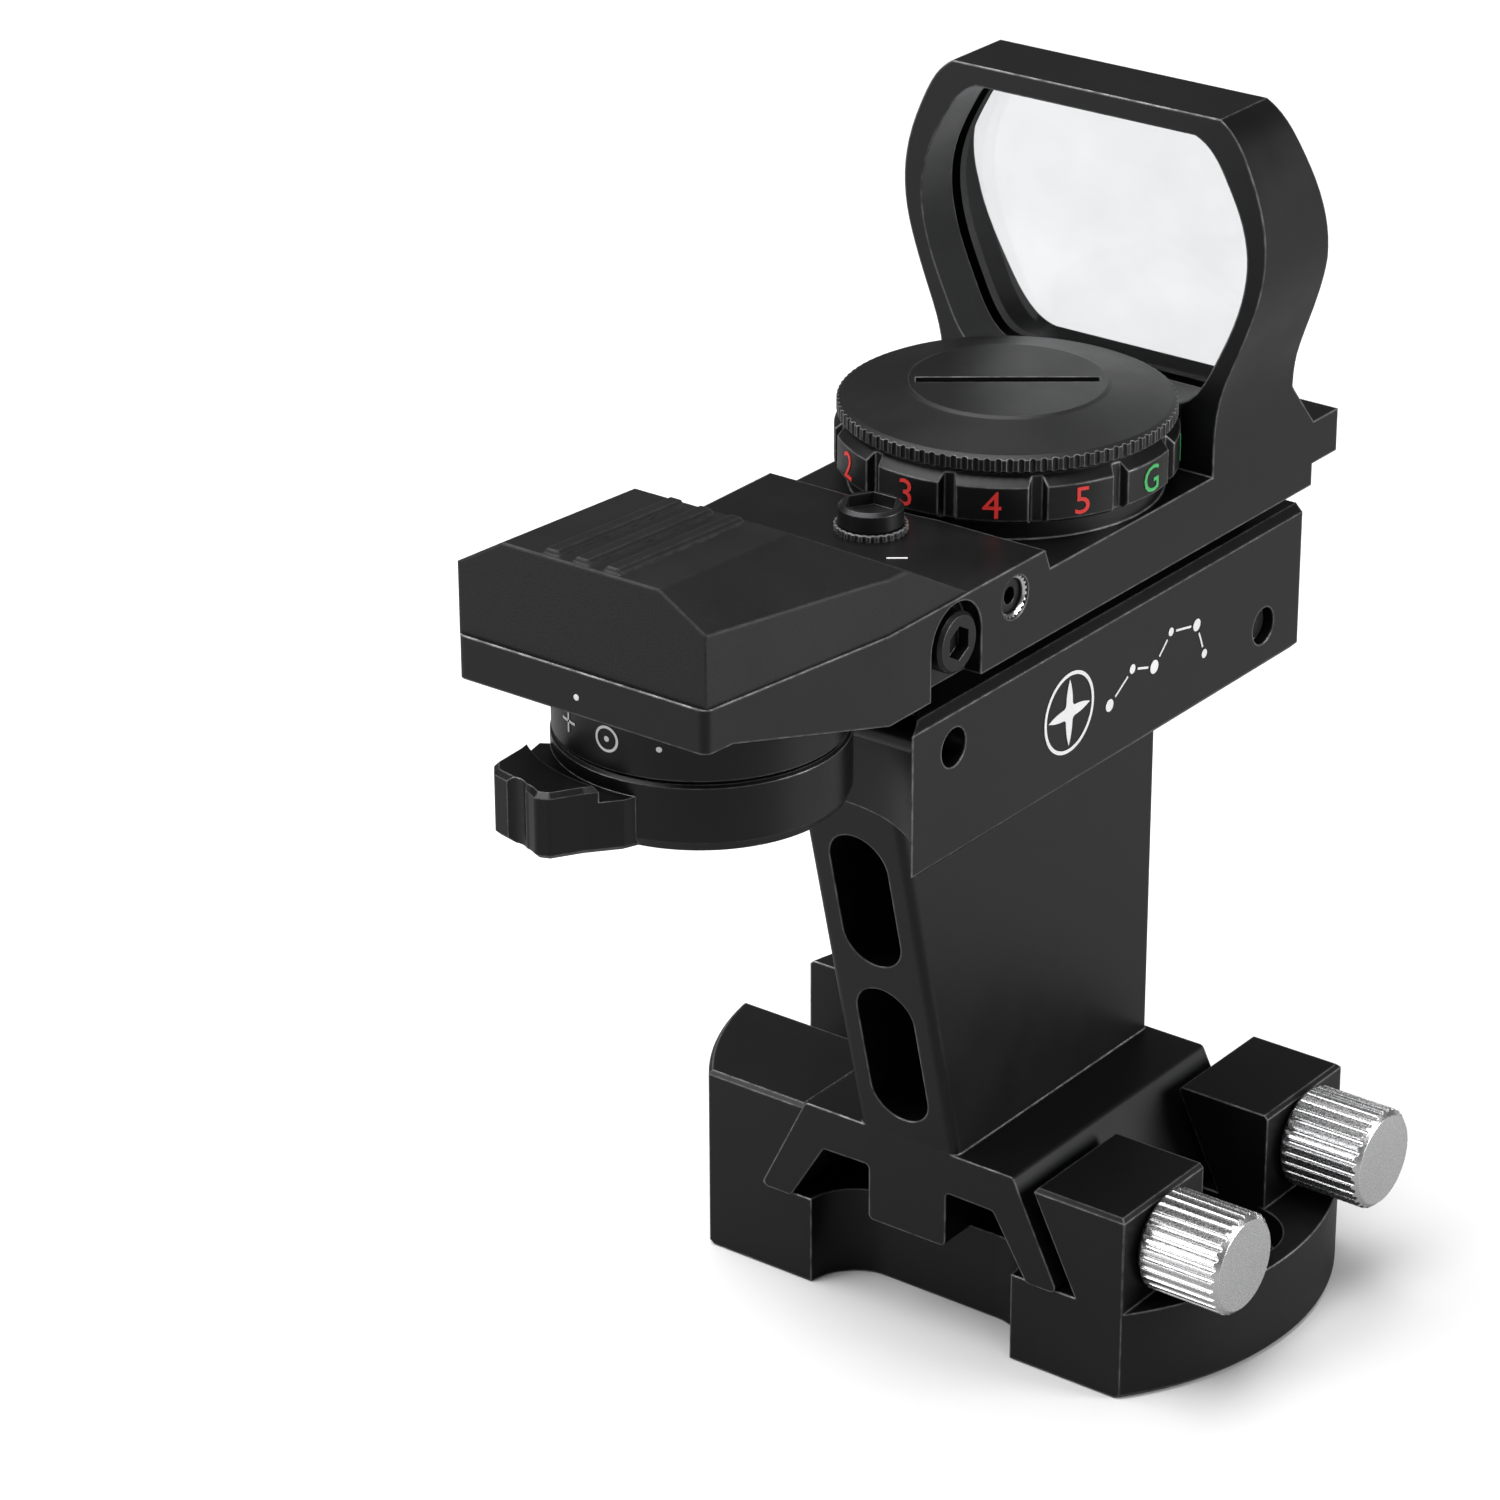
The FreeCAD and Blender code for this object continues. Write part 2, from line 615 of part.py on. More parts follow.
def pivot_pin():
    return rod(0.55, (-3.55, WIND_Y, 67.4), (1, 0, 0), 7.1)


def windage_screw():
    return socket_screw(1.25, 9.6, 2.6, 1.6, 2.6, (2.95, WIND_Y, WIND_Z), (1, 0, 0))


def elevation_bushing():
    body = upright(3.05, (0, ELEV_Y), (REAR_DECK_Z, 69.95)).fuse(upright(2.2, (0, ELEV_Y), (68.75, 69.5)))
    cuts = [upright(1.25 + RUN_GAP, (0, ELEV_Y), (68, 71))]
    for i in range(28):
        a = 2 * math.pi * i / 28
        cuts.append(upright(0.2, (3.1 * math.cos(a), ELEV_Y + 3.1 * math.sin(a)), (REAR_DECK_Z, 71)))
    return body.cut(cuts)


def elevation_screw():
    return socket_screw(1.25, 1.4, ELEV_HEAD_R, 1.65, 3.9, (0, ELEV_Y, 68.65), (0, 0, 1))


def lock_screw():
    body = turned([(0, 0), (1.2, 0), (1.5, 0.3), (1.5, 3.8), (0, 3.8)], (9.5, -5.3, 66.7), (1, 0, 0))
    return body.cut(rod(0.75, (12.2, -5.3, 66.7), (1, 0, 0), 3))


def carriage_plate():
    return box((-6.4, 6.4), (-15.9, -9.0), (BASE_Z, BASE_Z + 0.8))


def coil(r, wire, turns, base, height):
    # close-wound helical spring standing on +Z
    rise = height - 2 * wire
    steps = 12 * turns
    points = []
    for i in range(steps + 1):
        a = 2 * math.pi * turns * i / steps
        points.append(V(r * math.cos(a), r * math.sin(a), rise * i / steps))
    path = Part.BSplineCurve()
    path.interpolate(points)
    start = path.tangent(path.FirstParameter)[0]
    ring = Part.Wire(Part.makeCircle(wire, points[0], start))
    spring = Part.Wire(path.toShape()).makePipeShell([ring], True, False)
    spring.translate(V(base[0], base[1], base[2] + wire))
    return spring


def elevation_spring():
    return coil(1.3, 0.2, 5, (0, ELEV_Y, 62.62), 4.6)


# ---------------- brightness dial ----------------

def dial_ring():
    profile = [
        (0, DIAL_Z[0]), (DIAL_R - 0.3, DIAL_Z[0]), (DIAL_R, DIAL_Z[0] + 0.3), (DIAL_R, DIAL_Z[1] - 0.9),
        (DIAL_R - 0.9, DIAL_Z[1]), (11.95, DIAL_Z[1]), (11.95, 72.5), (CUP_R, 72.5), (CUP_R, 70.1), (0, 70.1),
    ]
    body = turned(profile, (0, DIAL_Y, 0))
    cuts = [upright(1.0, (0, DIAL_Y), (69, 71))]
    for i in range(12):
        a = math.radians(30 * i + 15)
        flare = [(-0.45, DIAL_R - 0.75), (0.45, DIAL_R - 0.75), (0.95, DIAL_R + 0.3), (-0.95, DIAL_R + 0.3)]
        notch = prism_z(flare, DIAL_Z[0] - 0.5, DIAL_Z[1] + 0.5)
        notch.rotate(V(0, 0, 0), V(0, 0, 1), math.degrees(a))
        notch.translate(V(0, DIAL_Y, 0))
        cuts.append(notch)
        d = math.radians(30 * i)
        dimple = (12.45 * math.cos(d), DIAL_Y + 12.45 * math.sin(d), DIAL_Z[0])
        cuts.append(Part.makeCone(0.5, 0.1, 0.3, V(*dimple)))
    return body.cut(cuts)


def dial_hub():
    profile = [
        (0, 61.3), (3.7, 61.3), (4.0, 61.6), (4.0, 61.9), (3.4, 61.9), (3.4, 62.4), (4.0, 62.4), (4.0, 69.3),
        (0, 69.3),
    ]
    return turned(profile, (0, DIAL_Y, 0)).cut(upright(0.8, (0, DIAL_Y), (64.5, 70)))


def dial_clip():
    ring = tube(5.6, 3.4, (0, DIAL_Y), (61.92, 62.38))
    return ring.cut(box((-1.4, 1.4), (DIAL_Y, DIAL_Y + 8), (61, 63)))


def hub_screw():
    return socket_screw(0.8, 5.3, 1.8, 0.7, 1.3, (0, DIAL_Y, 64.8), (0, 0, 1))


def cell_spring():
    ring = tube(8.4, 5.2, (0, DIAL_Y), (70.95, 71.25))
    legs = [box((x - 0.8, x + 0.8), (DIAL_Y - 6.6, DIAL_Y - 5.6), (70.1, 71.0)) for x in (-1.8, 1.8)]
    return ring.fuse(legs)


def coin_cell():
    can = [(0, 71.45), (9.6, 71.45), (9.6, 71.7), (10.0, 72.1), (10.0, 74.2), (9.8, 74.45), (0, 74.45)]
    body = turned(can, (0, DIAL_Y, 0))
    return body.fuse(upright(8.8, (0, DIAL_Y), (71.25, 71.6)))


def battery_cap():
    profile = [
        (0, 74.8), (10.3, 74.8), (10.3, 71.0), (10.8, 71.0), (11.0, 71.2), (11.0, CAP_Z[0]),
        (CAP_R - 0.3, CAP_Z[0]), (CAP_R, CAP_Z[0] + 0.3), (CAP_R, CAP_Z[1]), (CAP_R - 0.5, CAP_Z[1] + 0.25),
        (CAP_FLAT_R + 0.4, CAP_TOP - 0.18), (CAP_FLAT_R, CAP_TOP), (0, CAP_TOP),
    ]
    body = turned(profile, (0, DIAL_Y, 0))
    coin_slot = box((-7.7, 7.7), (-0.6, 0.6), (CAP_TOP - 0.8, CAP_TOP + 1))
    coin_slot.rotate(V(0, 0, 0), V(0, 0, 1), COIN_SLOT_TURN)
    coin_slot.translate(V(0, DIAL_Y, 0))
    cuts = [coin_slot]
    for i in range(CAP_TEETH):
        a = 2 * math.pi * (i + 0.5) / CAP_TEETH
        at = ((CAP_R + 0.1) * math.cos(a), DIAL_Y + (CAP_R + 0.1) * math.sin(a))
        cuts.append(upright(0.28, at, (CAP_Z[0] - 0.5, CAP_Z[1] + 0.15)))
    return body.cut(cuts)


def cap_oring():
    return Part.makeTorus(11.48, 0.4, V(0, DIAL_Y, 73.05))


def contact_board():
    return tube(11.5, 4.6, (0, DIAL_Y), (64.4, 65.4))


def dial_detent():
    ball = Part.makeSphere(0.6, V(0, DIAL_Y - 12.45, 68.68))
    return [ball, coil(0.42, 0.12, 5, (0, DIAL_Y - 12.45, 66.02), 2.0)]


# ---------------- reticle turret ----------------

def turret_ring():
    profile = [
        (9.6, RING_Z[0]), (RING_R - 0.35, RING_Z[0]), (RING_R, RING_Z[0] + 0.35), (RING_R, RING_Z[1] - 0.2),
        (RING_R - 0.2, RING_Z[1]), (HUB_R, RING_Z[1]), (HUB_R, 70.2), (6.1, 70.2), (6.1, 70.7), (HUB_R, 70.7),
        (HUB_R, 71.1), (5.6, 71.1), (5.6, 65.2), (9.6, 65.2),
    ]
    body = turned(profile, (0, TURRET_Y, 0))
    cuts = []
    for a in RETICLE_ANGLES:
        x = 9.3 * math.sin(math.radians(a))
        y = TURRET_Y - 9.3 * math.cos(math.radians(a))
        cuts.append(Part.makeCone(0.1, 0.7, 0.4, V(x, y, RING_Z[1] - 0.4)))
    for x, y in turret_screw_places():
        cuts.append(upright(0.7, (x, y), (RING_Z[0] - 1, 63.6)))
    return body.cut(cuts)


def turret_screw_places():
    return [
        (10.6 * math.sin(math.radians(a)), TURRET_Y - 10.6 * math.cos(math.radians(a)))
        for a in (60, 180, 300)
    ]


def lever_disc():
    profile = [
        (0, DISC_Z[0]), (DISC_R - 1.1, DISC_Z[0]), (DISC_R - 0.3, DISC_Z[0] + 0.35),
        (DISC_R, DISC_Z[0] + 1.1), (DISC_R, RING_Z[0] - 0.25), (DISC_R - 0.25, RING_Z[0]), (9.6, RING_Z[0]), (9.6, 56.3), (0, 56.3),
    ]
    body = turned(profile, (0, TURRET_Y, 0))
    outline = [
        (3.0, -39.2), (2.2, -41.2), (0.2, -43.6), (-1.3, -46.0), (-2.4, -46.4), (-3.4, -45.9), (-7.6, -45.0),
        (-8.6, -43.8), (-8.8, -40.6), (-9.6, -37.0), (-8.0, -36.0),
    ]
    lever = prism_z(outline, DISC_Z[0] + 0.2, RING_Z[0] - 0.15)
    lever = round_edges(lever, 0.5, lambda e: runs_along(e, "z") and min(p.y for p in ends(e)) < -40)
    lever = bevel_edges(lever, 0.4, lambda e: not runs_along(e, "z") and e.BoundBox.YMax < -40.8)
    lever = lever.cut([
        upright(1.5, (-5.1, -46.5), (DISC_Z[0] - 1, RING_Z[0] + 1)),
        tube(14.2, 11.9, (0, TURRET_Y), (RING_Z[0] - 1.4, RING_Z[0] + 1)),
        upright(9.6, (0, TURRET_Y), (56.3, RING_Z[0] + 1)),
    ])
    body = body.fuse(lever).removeSplitter()
    cuts = []
    for x, y in turret_screw_places():
        cuts.append(upright(0.7, (x, y), (DISC_Z[0] - 1, RING_Z[0] + 1)))
        cuts.append(upright(1.1, (x, y), (DISC_Z[0] - 1, DISC_Z[0] + 1.3)))
    return body.cut(cuts)


def turret_screws():
    return [
        socket_screw(0.7, 7.5, 1.1, 0.8, 1.0, (x, y, 63.3), (0, 0, -1))
        for x, y in turret_screw_places()
    ]


def turret_clip():
    ring = tube(CLIP_R, 6.1, (0, TURRET_Y), (70.22, 70.68))
    return ring.cut(box((-1.5, 1.5), (TURRET_Y - 9, TURRET_Y), (69, 72)))


def reticle_drum():
    profile = [(3.2, 66.0), (5.6, 66.0), (5.6, 66.8), (3.6, 66.8), (3.6, 73.9), (3.2, 73.9)]
    body = turned(profile, (0, TURRET_Y, 0))
    cuts = []
    for a in RETICLE_ANGLES:
        way = (-math.sin(math.radians(a)), math.cos(math.radians(a)), 0)
        cuts.append(rod(0.35, (0, TURRET_Y, 72.9), way, 6))
    return body.cut(cuts)


def turret_detent():
    ball = Part.makeSphere(0.8, V(0, TURRET_Y - 9.3, RING_Z[1] + 0.82))
    return [ball, coil(0.55, 0.15, 3, (0, TURRET_Y - 9.3, 68.12), 1.2)]


FINDER_NODES = {
    "riser": riser,
    "clamp_jaw": clamp_jaw,
    "cross_bolts": cross_bolts,
    "sight_frame": sight_frame,
    "lens": lens,
    "lens_retainer": lens_retainer,
    "emitter_cover": emitter_cover,
    "emitter_window": emitter_window,
    "cover_screws": cover_screws,
    "emitter_yoke": emitter_yoke,
    "led_board": led_board,
    "led": led,
    "windage_block": windage_block,
    "pivot_pin": pivot_pin,
    "windage_screw": windage_screw,
    "elevation_bushing": elevation_bushing,
    "elevation_screw": elevation_screw,
    "elevation_spring": elevation_spring,
    "lock_screw": lock_screw,
    "carriage_plate": carriage_plate,
    "dial_ring": dial_ring,
    "dial_hub": dial_hub,
    "dial_clip": dial_clip,
    "hub_screw": hub_screw,
    "cell_spring": cell_spring,
    "coin_cell": coin_cell,
    "battery_cap": battery_cap,
    "cap_oring": cap_oring,
    "contact_board": contact_board,
    "dial_detent": dial_detent,
    "turret_ring": turret_ring,
    "lever_disc": lever_disc,
    "turret_screws": turret_screws,
    "turret_clip": turret_clip,
    "reticle_drum": reticle_drum,
    "turret_detent": turret_detent,
}


def main():
    os.makedirs("parts", exist_ok=True)
    save("shoe", shoe())
    for place, y in (("rear", -SCREW_Y), ("front", SCREW_Y)):
        save("thumb_shank_" + place, thumb_shank(y))
        save("thumb_head_" + place, thumb_head(y))
    for name, make in FINDER_NODES.items():
        made = make()
        if isinstance(made, list):
            made = Part.makeCompound(made)
        save(name, lift(made))


main()
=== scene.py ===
import functools
import math

import bpy
import numpy as np
from bpy.props import FloatProperty, FloatVectorProperty, IntProperty, PointerProperty
from mathutils import Matrix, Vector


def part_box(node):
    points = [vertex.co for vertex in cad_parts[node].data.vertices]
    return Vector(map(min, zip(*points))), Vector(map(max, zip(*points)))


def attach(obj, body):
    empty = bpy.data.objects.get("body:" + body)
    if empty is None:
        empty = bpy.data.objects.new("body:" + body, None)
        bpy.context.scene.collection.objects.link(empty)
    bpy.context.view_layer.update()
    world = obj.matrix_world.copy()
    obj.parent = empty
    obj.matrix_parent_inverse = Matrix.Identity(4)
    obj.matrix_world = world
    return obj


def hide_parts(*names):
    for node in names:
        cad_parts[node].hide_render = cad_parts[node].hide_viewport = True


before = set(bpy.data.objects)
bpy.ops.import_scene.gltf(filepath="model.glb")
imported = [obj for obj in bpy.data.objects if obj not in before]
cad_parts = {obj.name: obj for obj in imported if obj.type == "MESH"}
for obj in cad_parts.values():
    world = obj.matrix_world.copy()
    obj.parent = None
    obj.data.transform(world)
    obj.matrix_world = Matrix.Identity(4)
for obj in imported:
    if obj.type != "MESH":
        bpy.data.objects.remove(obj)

bl_info = {
    "name": "Reflex finder looks",
    "version": (1, 0, 0),
    "blender": (4, 5, 0),
    "location": "View3D > Sidebar > Finder",
    "description": "Finishes, markings, threads and studio for a reflex finder and its shoe",
    "category": "Object",
}

MM = 0.001

# Where the finder's own zero lies: the rear end of the riser's foot, on its centre line (metres).
FINDER_ZERO = np.array([0.0, -0.018, 0.00845])

# Places on the finder, in millimetres from its own zero.
DIAL_RADIUS = 14.5
DIAL_AXIS_Y = 13.4
DIAL_FIGURES_Z = 71.0
TURRET_RADIUS = 11.9
TURRET_AXIS_Y = -28.5
TURRET_MARKS_Z = 63.4
INDEX_DOT_AT = (-0.3, -43.6, 68.0)
TICK_AT = (5.3, -9.6, 69.35)
TICK_TURN = math.radians(37.0)
LOCK_HOLE_AT = (13.9, -5.3, 66.7)
EMBLEM_AT = (13.4, 3.6, 53.1)
EMBLEM_SCALE = 1.12

# Paint: the gap that keeps it off the metal, its thickness, and a capital's share of a text size.
INK_LIFT = 0.02
INK_THICK = 0.035
CAPITAL_SHARE = 0.71

# Which CAD nodes take which finish.
BRUSHED_NODES = ("shoe", "riser", "clamp_jaw")
BLASTED_NODES = ("sight_frame", "dial_ring", "elevation_bushing")
TURRET_NODES = ("lever_disc", "turret_ring")
MOULDED_NODES = ("emitter_cover", "windage_block", "reticle_drum", "carriage_plate")
SILVER_NODES = ("thumb_head_rear", "thumb_head_front")
OXIDE_NODES = (
    "cross_bolts", "cover_screws", "elevation_screw", "windage_screw", "lock_screw", "hub_screw",
    "turret_screws",
)
SPRING_NODES = (
    "elevation_spring", "cell_spring", "dial_clip", "turret_clip", "dial_detent", "turret_detent",
    "pivot_pin", "emitter_yoke",
)
RUBBER_NODES = ("cap_oring", "lens_retainer")
BOARD_NODES = ("led_board", "contact_board")


# ---------------------------------------------------------------- shader helpers

def new_tree_node(tree, kind, values=None, **props):
    """Adds a node, sets its properties, and its unlinked inputs by name or number."""
    node = tree.nodes.new(kind)
    for key, value in props.items():
        setattr(node, key, value)
    for key, value in (values or {}).items():
        node.inputs[key].default_value = value
    return node


def noise(tree, **values):
    """A noise texture with the given Scale, Detail and Roughness."""
    return new_tree_node(tree, "ShaderNodeTexNoise", values)


def new_group(name, inputs, outputs):
    """An empty node group with named sockets: inputs are (name, type, default)."""
    tree = bpy.data.node_groups.new(name, "ShaderNodeTree")
    for label, kind, default in inputs:
        socket = tree.interface.new_socket(name=label, in_out="INPUT", socket_type=kind)
        socket.default_value = default
    for label, kind in outputs:
        tree.interface.new_socket(name=label, in_out="OUTPUT", socket_type=kind)
    entry = tree.nodes.new("NodeGroupInput")
    leave = tree.nodes.new("NodeGroupOutput")
    return tree, entry, leave


def shared(name):
    """Marks a function that builds the node group of this name, so that it is built only once."""

    def wrap(build):
        @functools.wraps(build)
        def find_or_build():
            return bpy.data.node_groups.get(name) or build(name)

        return find_or_build

    return wrap


@shared("finder_brushed")
def brushed_group(name):
    """Fine parallel streaks along Y in a drawn and brushed metal: noise stretched along Y.
    Streak is the height, Smudge a slow cloud for roughness."""
    tree, entry, leave = new_group(
        name,
        [("Across", "NodeSocketFloat", 9000.0), ("Along", "NodeSocketFloat", 260.0)],
        [("Streak", "NodeSocketFloat"), ("Smudge", "NodeSocketFloat")],
    )
    place = new_tree_node(tree, "ShaderNodeTexCoord")
    stretch = new_tree_node(tree, "ShaderNodeCombineXYZ")
    scaled = new_tree_node(tree, "ShaderNodeVectorMath", operation="MULTIPLY")
    streak = noise(tree, Scale=1.0, Detail=3.0, Roughness=0.6)
    cloud = noise(tree, Scale=85.0, Detail=4.0, Roughness=0.55)
    link = tree.links.new
    link(entry.outputs["Across"], stretch.inputs["X"])
    link(entry.outputs["Along"], stretch.inputs["Y"])
    link(entry.outputs["Across"], stretch.inputs["Z"])
    link(place.outputs["Object"], scaled.inputs[0])
    link(stretch.outputs[0], scaled.inputs[1])
    link(scaled.outputs[0], streak.inputs["Vector"])
    link(place.outputs["Object"], cloud.inputs["Vector"])
    link(streak.outputs["Fac"], leave.inputs["Streak"])
    link(cloud.outputs["Fac"], leave.inputs["Smudge"])
    return tree


@shared("finder_grain")
def grain_group(name):
    """Even fine grain of a blasted or moulded surface, with a slow cloud of handling marks."""
    tree, entry, leave = new_group(
        name,
        [("Scale", "NodeSocketFloat", 5200.0)],
        [("Grain", "NodeSocketFloat"), ("Smudge", "NodeSocketFloat")],
    )
    place = new_tree_node(tree, "ShaderNodeTexCoord")
    grain = noise(tree, Detail=2.0, Roughness=0.5)
    cloud = noise(tree, Scale=120.0, Detail=4.0, Roughness=0.6)
    link = tree.links.new
    link(entry.outputs["Scale"], grain.inputs["Scale"])
    link(place.outputs["Object"], grain.inputs["Vector"])
    link(place.outputs["Object"], cloud.inputs["Vector"])
    link(grain.outputs["Fac"], leave.inputs["Grain"])
    link(cloud.outputs["Fac"], leave.inputs["Smudge"])
    return tree


@shared("finder_turning")
def turning_group(name):
    """Rings left by a lathe round an upright axis: the distance from the axis, through noise."""
    tree, entry, leave = new_group(
        name,
        [("Centre", "NodeSocketVector", (0.0, 0.0, 0.0)), ("Rings", "NodeSocketFloat", 9000.0)],
        [("Ring", "NodeSocketFloat")],
    )
    place = new_tree_node(tree, "ShaderNodeTexCoord")
    from_axis = new_tree_node(tree, "ShaderNodeVectorMath", operation="SUBTRACT")
    flat = new_tree_node(tree, "ShaderNodeVectorMath", {1: (1.0, 1.0, 0.0)}, operation="MULTIPLY")
    reach = new_tree_node(tree, "ShaderNodeVectorMath", operation="LENGTH")
    scaled = new_tree_node(tree, "ShaderNodeMath", operation="MULTIPLY")
    ring = new_tree_node(
        tree, "ShaderNodeTexNoise", {"Scale": 1.0, "Detail": 2.0}, noise_dimensions="1D"
    )
    link = tree.links.new
    link(place.outputs["Object"], from_axis.inputs[0])
    link(entry.outputs["Centre"], from_axis.inputs[1])
    link(from_axis.outputs[0], flat.inputs[0])
    link(flat.outputs[0], reach.inputs[0])
    link(reach.outputs["Value"], scaled.inputs[0])
    link(entry.outputs["Rings"], scaled.inputs[1])
    link(scaled.outputs[0], ring.inputs["W"])
    link(ring.outputs["Fac"], leave.inputs["Ring"])
    return tree


@shared("finder_edges")
def edge_group(name):
    """Slightly rounded edges: Soft is a normal rounded over the edges, and the other output is a
    mask that is 1 where that normal leaves the face's own, broken up by fine noise. Some finishes
    paint their edges lighter by this mask: partly wear, partly a painted edge highlight."""
    tree, entry, leave = new_group(
        name,
        [("Radius", "NodeSocketFloat", 0.00025)],
        [("Rub", "NodeSocketFloat"), ("Soft", "NodeSocketVector")],
    )
    rounded = new_tree_node(tree, "ShaderNodeBevel", samples=6)
    face = new_tree_node(tree, "ShaderNodeNewGeometry")
    dot = new_tree_node(tree, "ShaderNodeVectorMath", operation="DOT_PRODUCT")
    band = new_tree_node(
        tree, "ShaderNodeMapRange",
        {"From Min": 0.995, "From Max": 0.86, "To Min": 0.0, "To Max": 1.0},
    )
    place = new_tree_node(tree, "ShaderNodeTexCoord")
    nibble = noise(tree, Scale=900.0, Detail=3.0)
    broken = new_tree_node(
        tree, "ShaderNodeMapRange",
        {"From Min": 0.35, "From Max": 0.65, "To Min": 0.35, "To Max": 1.0},
    )
    both = new_tree_node(tree, "ShaderNodeMath", operation="MULTIPLY")
    link = tree.links.new
    link(entry.outputs["Radius"], rounded.inputs["Radius"])
    link(rounded.outputs[0], dot.inputs[0])
    link(face.outputs["Normal"], dot.inputs[1])
    link(dot.outputs["Value"], band.inputs["Value"])
    link(place.outputs["Object"], nibble.inputs["Vector"])
    link(nibble.outputs["Fac"], broken.inputs["Value"])
    link(band.outputs["Result"], both.inputs[0])
    link(broken.outputs["Result"], both.inputs[1])
    link(both.outputs[0], leave.inputs["Rub"])
    link(rounded.outputs[0], leave.inputs["Soft"])
    return tree


def start_material(name, **shader):
    """A material with one Principled shader, whose constants are set on its own sockets."""
    material = bpy.data.materials.new(name)
    material.use_nodes = True
    tree = material.node_tree
    tree.nodes.clear()
    surface = new_tree_node(tree, "ShaderNodeBsdfPrincipled")
    output = new_tree_node(tree, "ShaderNodeOutputMaterial")
    tree.links.new(surface.outputs["BSDF"], output.inputs["Surface"])
    for key, value in shader.items():
        surface.inputs[key.replace("_", " ").title().replace("Ior", "IOR")].default_value = value
    return material, tree, surface


def place_group(tree, group, values=None):
    """Puts a node group into a material with its own values."""
    node = tree.nodes.new("ShaderNodeGroup")
    node.node_tree = group
    for key, value in (values or {}).items():
        node.inputs[key].default_value = value
    return node


def ranged(tree, source, low, high, start=0.3, end=0.7):
    """Maps a value that runs from start to end onto low to high."""
    node = new_tree_node(
        tree, "ShaderNodeMapRange",
        {"From Min": start, "From Max": end, "To Min": low, "To Max": high},
    )
    tree.links.new(source, node.inputs["Value"])
    return node.outputs["Result"]


def mixed_colour(tree, mask, plain, worn):
    """Mixes two colours by a mask."""
    node = new_tree_node(tree, "ShaderNodeMix", data_type="RGBA")
    node.inputs["A"].default_value = (*plain, 1.0)
    node.inputs["B"].default_value = (*worn, 1.0)
    tree.links.new(mask, node.inputs["Factor"])
    return node.outputs["Result"]


def bumped(tree, height, strength, distance, normal=None):
    """A Bump node fed by a height, over an optional normal."""
    node = new_tree_node(tree, "ShaderNodeBump", {"Strength": strength, "Distance": distance})
    tree.links.new(height, node.inputs["Height"])
    if normal is not None:
        tree.links.new(normal, node.inputs["Normal"])
    return node.outputs["Normal"]


# ---------------------------------------------------------------- finishes

def black_metal(name, settings, edge_width, rough, height_of, strength):
    """Satin black anodising. Along its edges the colour goes to bright bare metal: partly rubbed
    wear, partly a painted edge highlight. height_of adds the cut of the surface to the tree, and
    returns its height and its slow cloud."""
    material, tree, surface = start_material(name, ior=1.4)
    edges = place_group(tree, edge_group(), {"Radius": edge_width})
    height, cloud = height_of(tree)
    link = tree.links.new
    # Edge mask: the colour goes to bright bare metal along every edge, partly rubbed wear and
    # partly a painted edge highlight.
    rub_and_highlight = ranged(tree, edges.outputs["Rub"], 0.0, settings.edge_rub_and_highlight, 0.0, 1.0)
    bare = (0.62, 0.62, 0.63)
    link(mixed_colour(tree, rub_and_highlight, settings.anodised_colour, bare), surface.inputs["Base Color"])
    link(rub_and_highlight, surface.inputs["Metallic"])
    link(ranged(tree, cloud, *rough), surface.inputs["Roughness"])
    link(bumped(tree, height, strength, 0.00002, edges.outputs["Soft"]), surface.inputs["Normal"])
    return material


def brushed_finish(settings):
    """Black anodising over extruded, brushed aluminium: fine streaks along Y."""

    def height_of(tree):
        brushed = place_group(tree, brushed_group())
        return brushed.outputs["Streak"], brushed.outputs["Smudge"]

    edge = settings.edge_round
    return black_metal("brushed_black", settings, edge, (0.34, 0.44), height_of, 0.16)


def blasted_finish(settings):
    """Finely blasted black anodising, even in every direction."""

    def height_of(tree):
        grain = place_group(tree, grain_group(), {"Scale": 9000.0})
        return grain.outputs["Grain"], grain.outputs["Smudge"]

    edge = settings.edge_round
    return black_metal("blasted_black", settings, edge, (0.33, 0.42), height_of, 0.14)


def turned_finish(name, settings, axis_y, rough):
    """Black anodised turning: faint rings round its upright axis under a fine blast."""

    def height_of(tree):
        centre = (FINDER_ZERO + np.array([0.0, axis_y, 0.0]) * MM).tolist()
        rings = place_group(tree, turning_group(), {"Centre": centre, "Rings": 7000.0})
        grain = place_group(tree, grain_group(), {"Scale": 8000.0})
        both = new_tree_node(tree, "ShaderNodeMath", {1: 0.35}, operation="MULTIPLY_ADD")
        tree.links.new(rings.outputs["Ring"], both.inputs[0])
        tree.links.new(grain.outputs["Grain"], both.inputs[2])
        return both.outputs[0], grain.outputs["Smudge"]

    return black_metal(name, settings, 0.00015, rough, height_of, 0.18)


def moulded_finish(settings):
    """Fine-grained black moulding with softened edges, painted lighter grey along them: partly
    wear, partly a painted edge highlight.
    """
    material, tree, surface = start_material("moulded_black", ior=1.38)
    grain = place_group(tree, grain_group(), {"Scale": 4600.0})
    edges = place_group(tree, edge_group(), {"Radius": 0.0004})
    link = tree.links.new
    # Lighter grey along the edges: partly wear, partly a painted edge highlight.
    rub_and_highlight = ranged(tree, edges.outputs["Rub"], 0.0, 0.4, 0.0, 1.0)
    worn = (0.10, 0.10, 0.105)
    link(mixed_colour(tree, rub_and_highlight, settings.moulded_colour, worn), surface.inputs["Base Color"])
    link(ranged(tree, grain.outputs["Smudge"], 0.40, 0.52), surface.inputs["Roughness"])
    link(
        bumped(tree, grain.outputs["Grain"], 0.45, 0.00003, edges.outputs["Soft"]),
        surface.inputs["Normal"],
    )
    return material


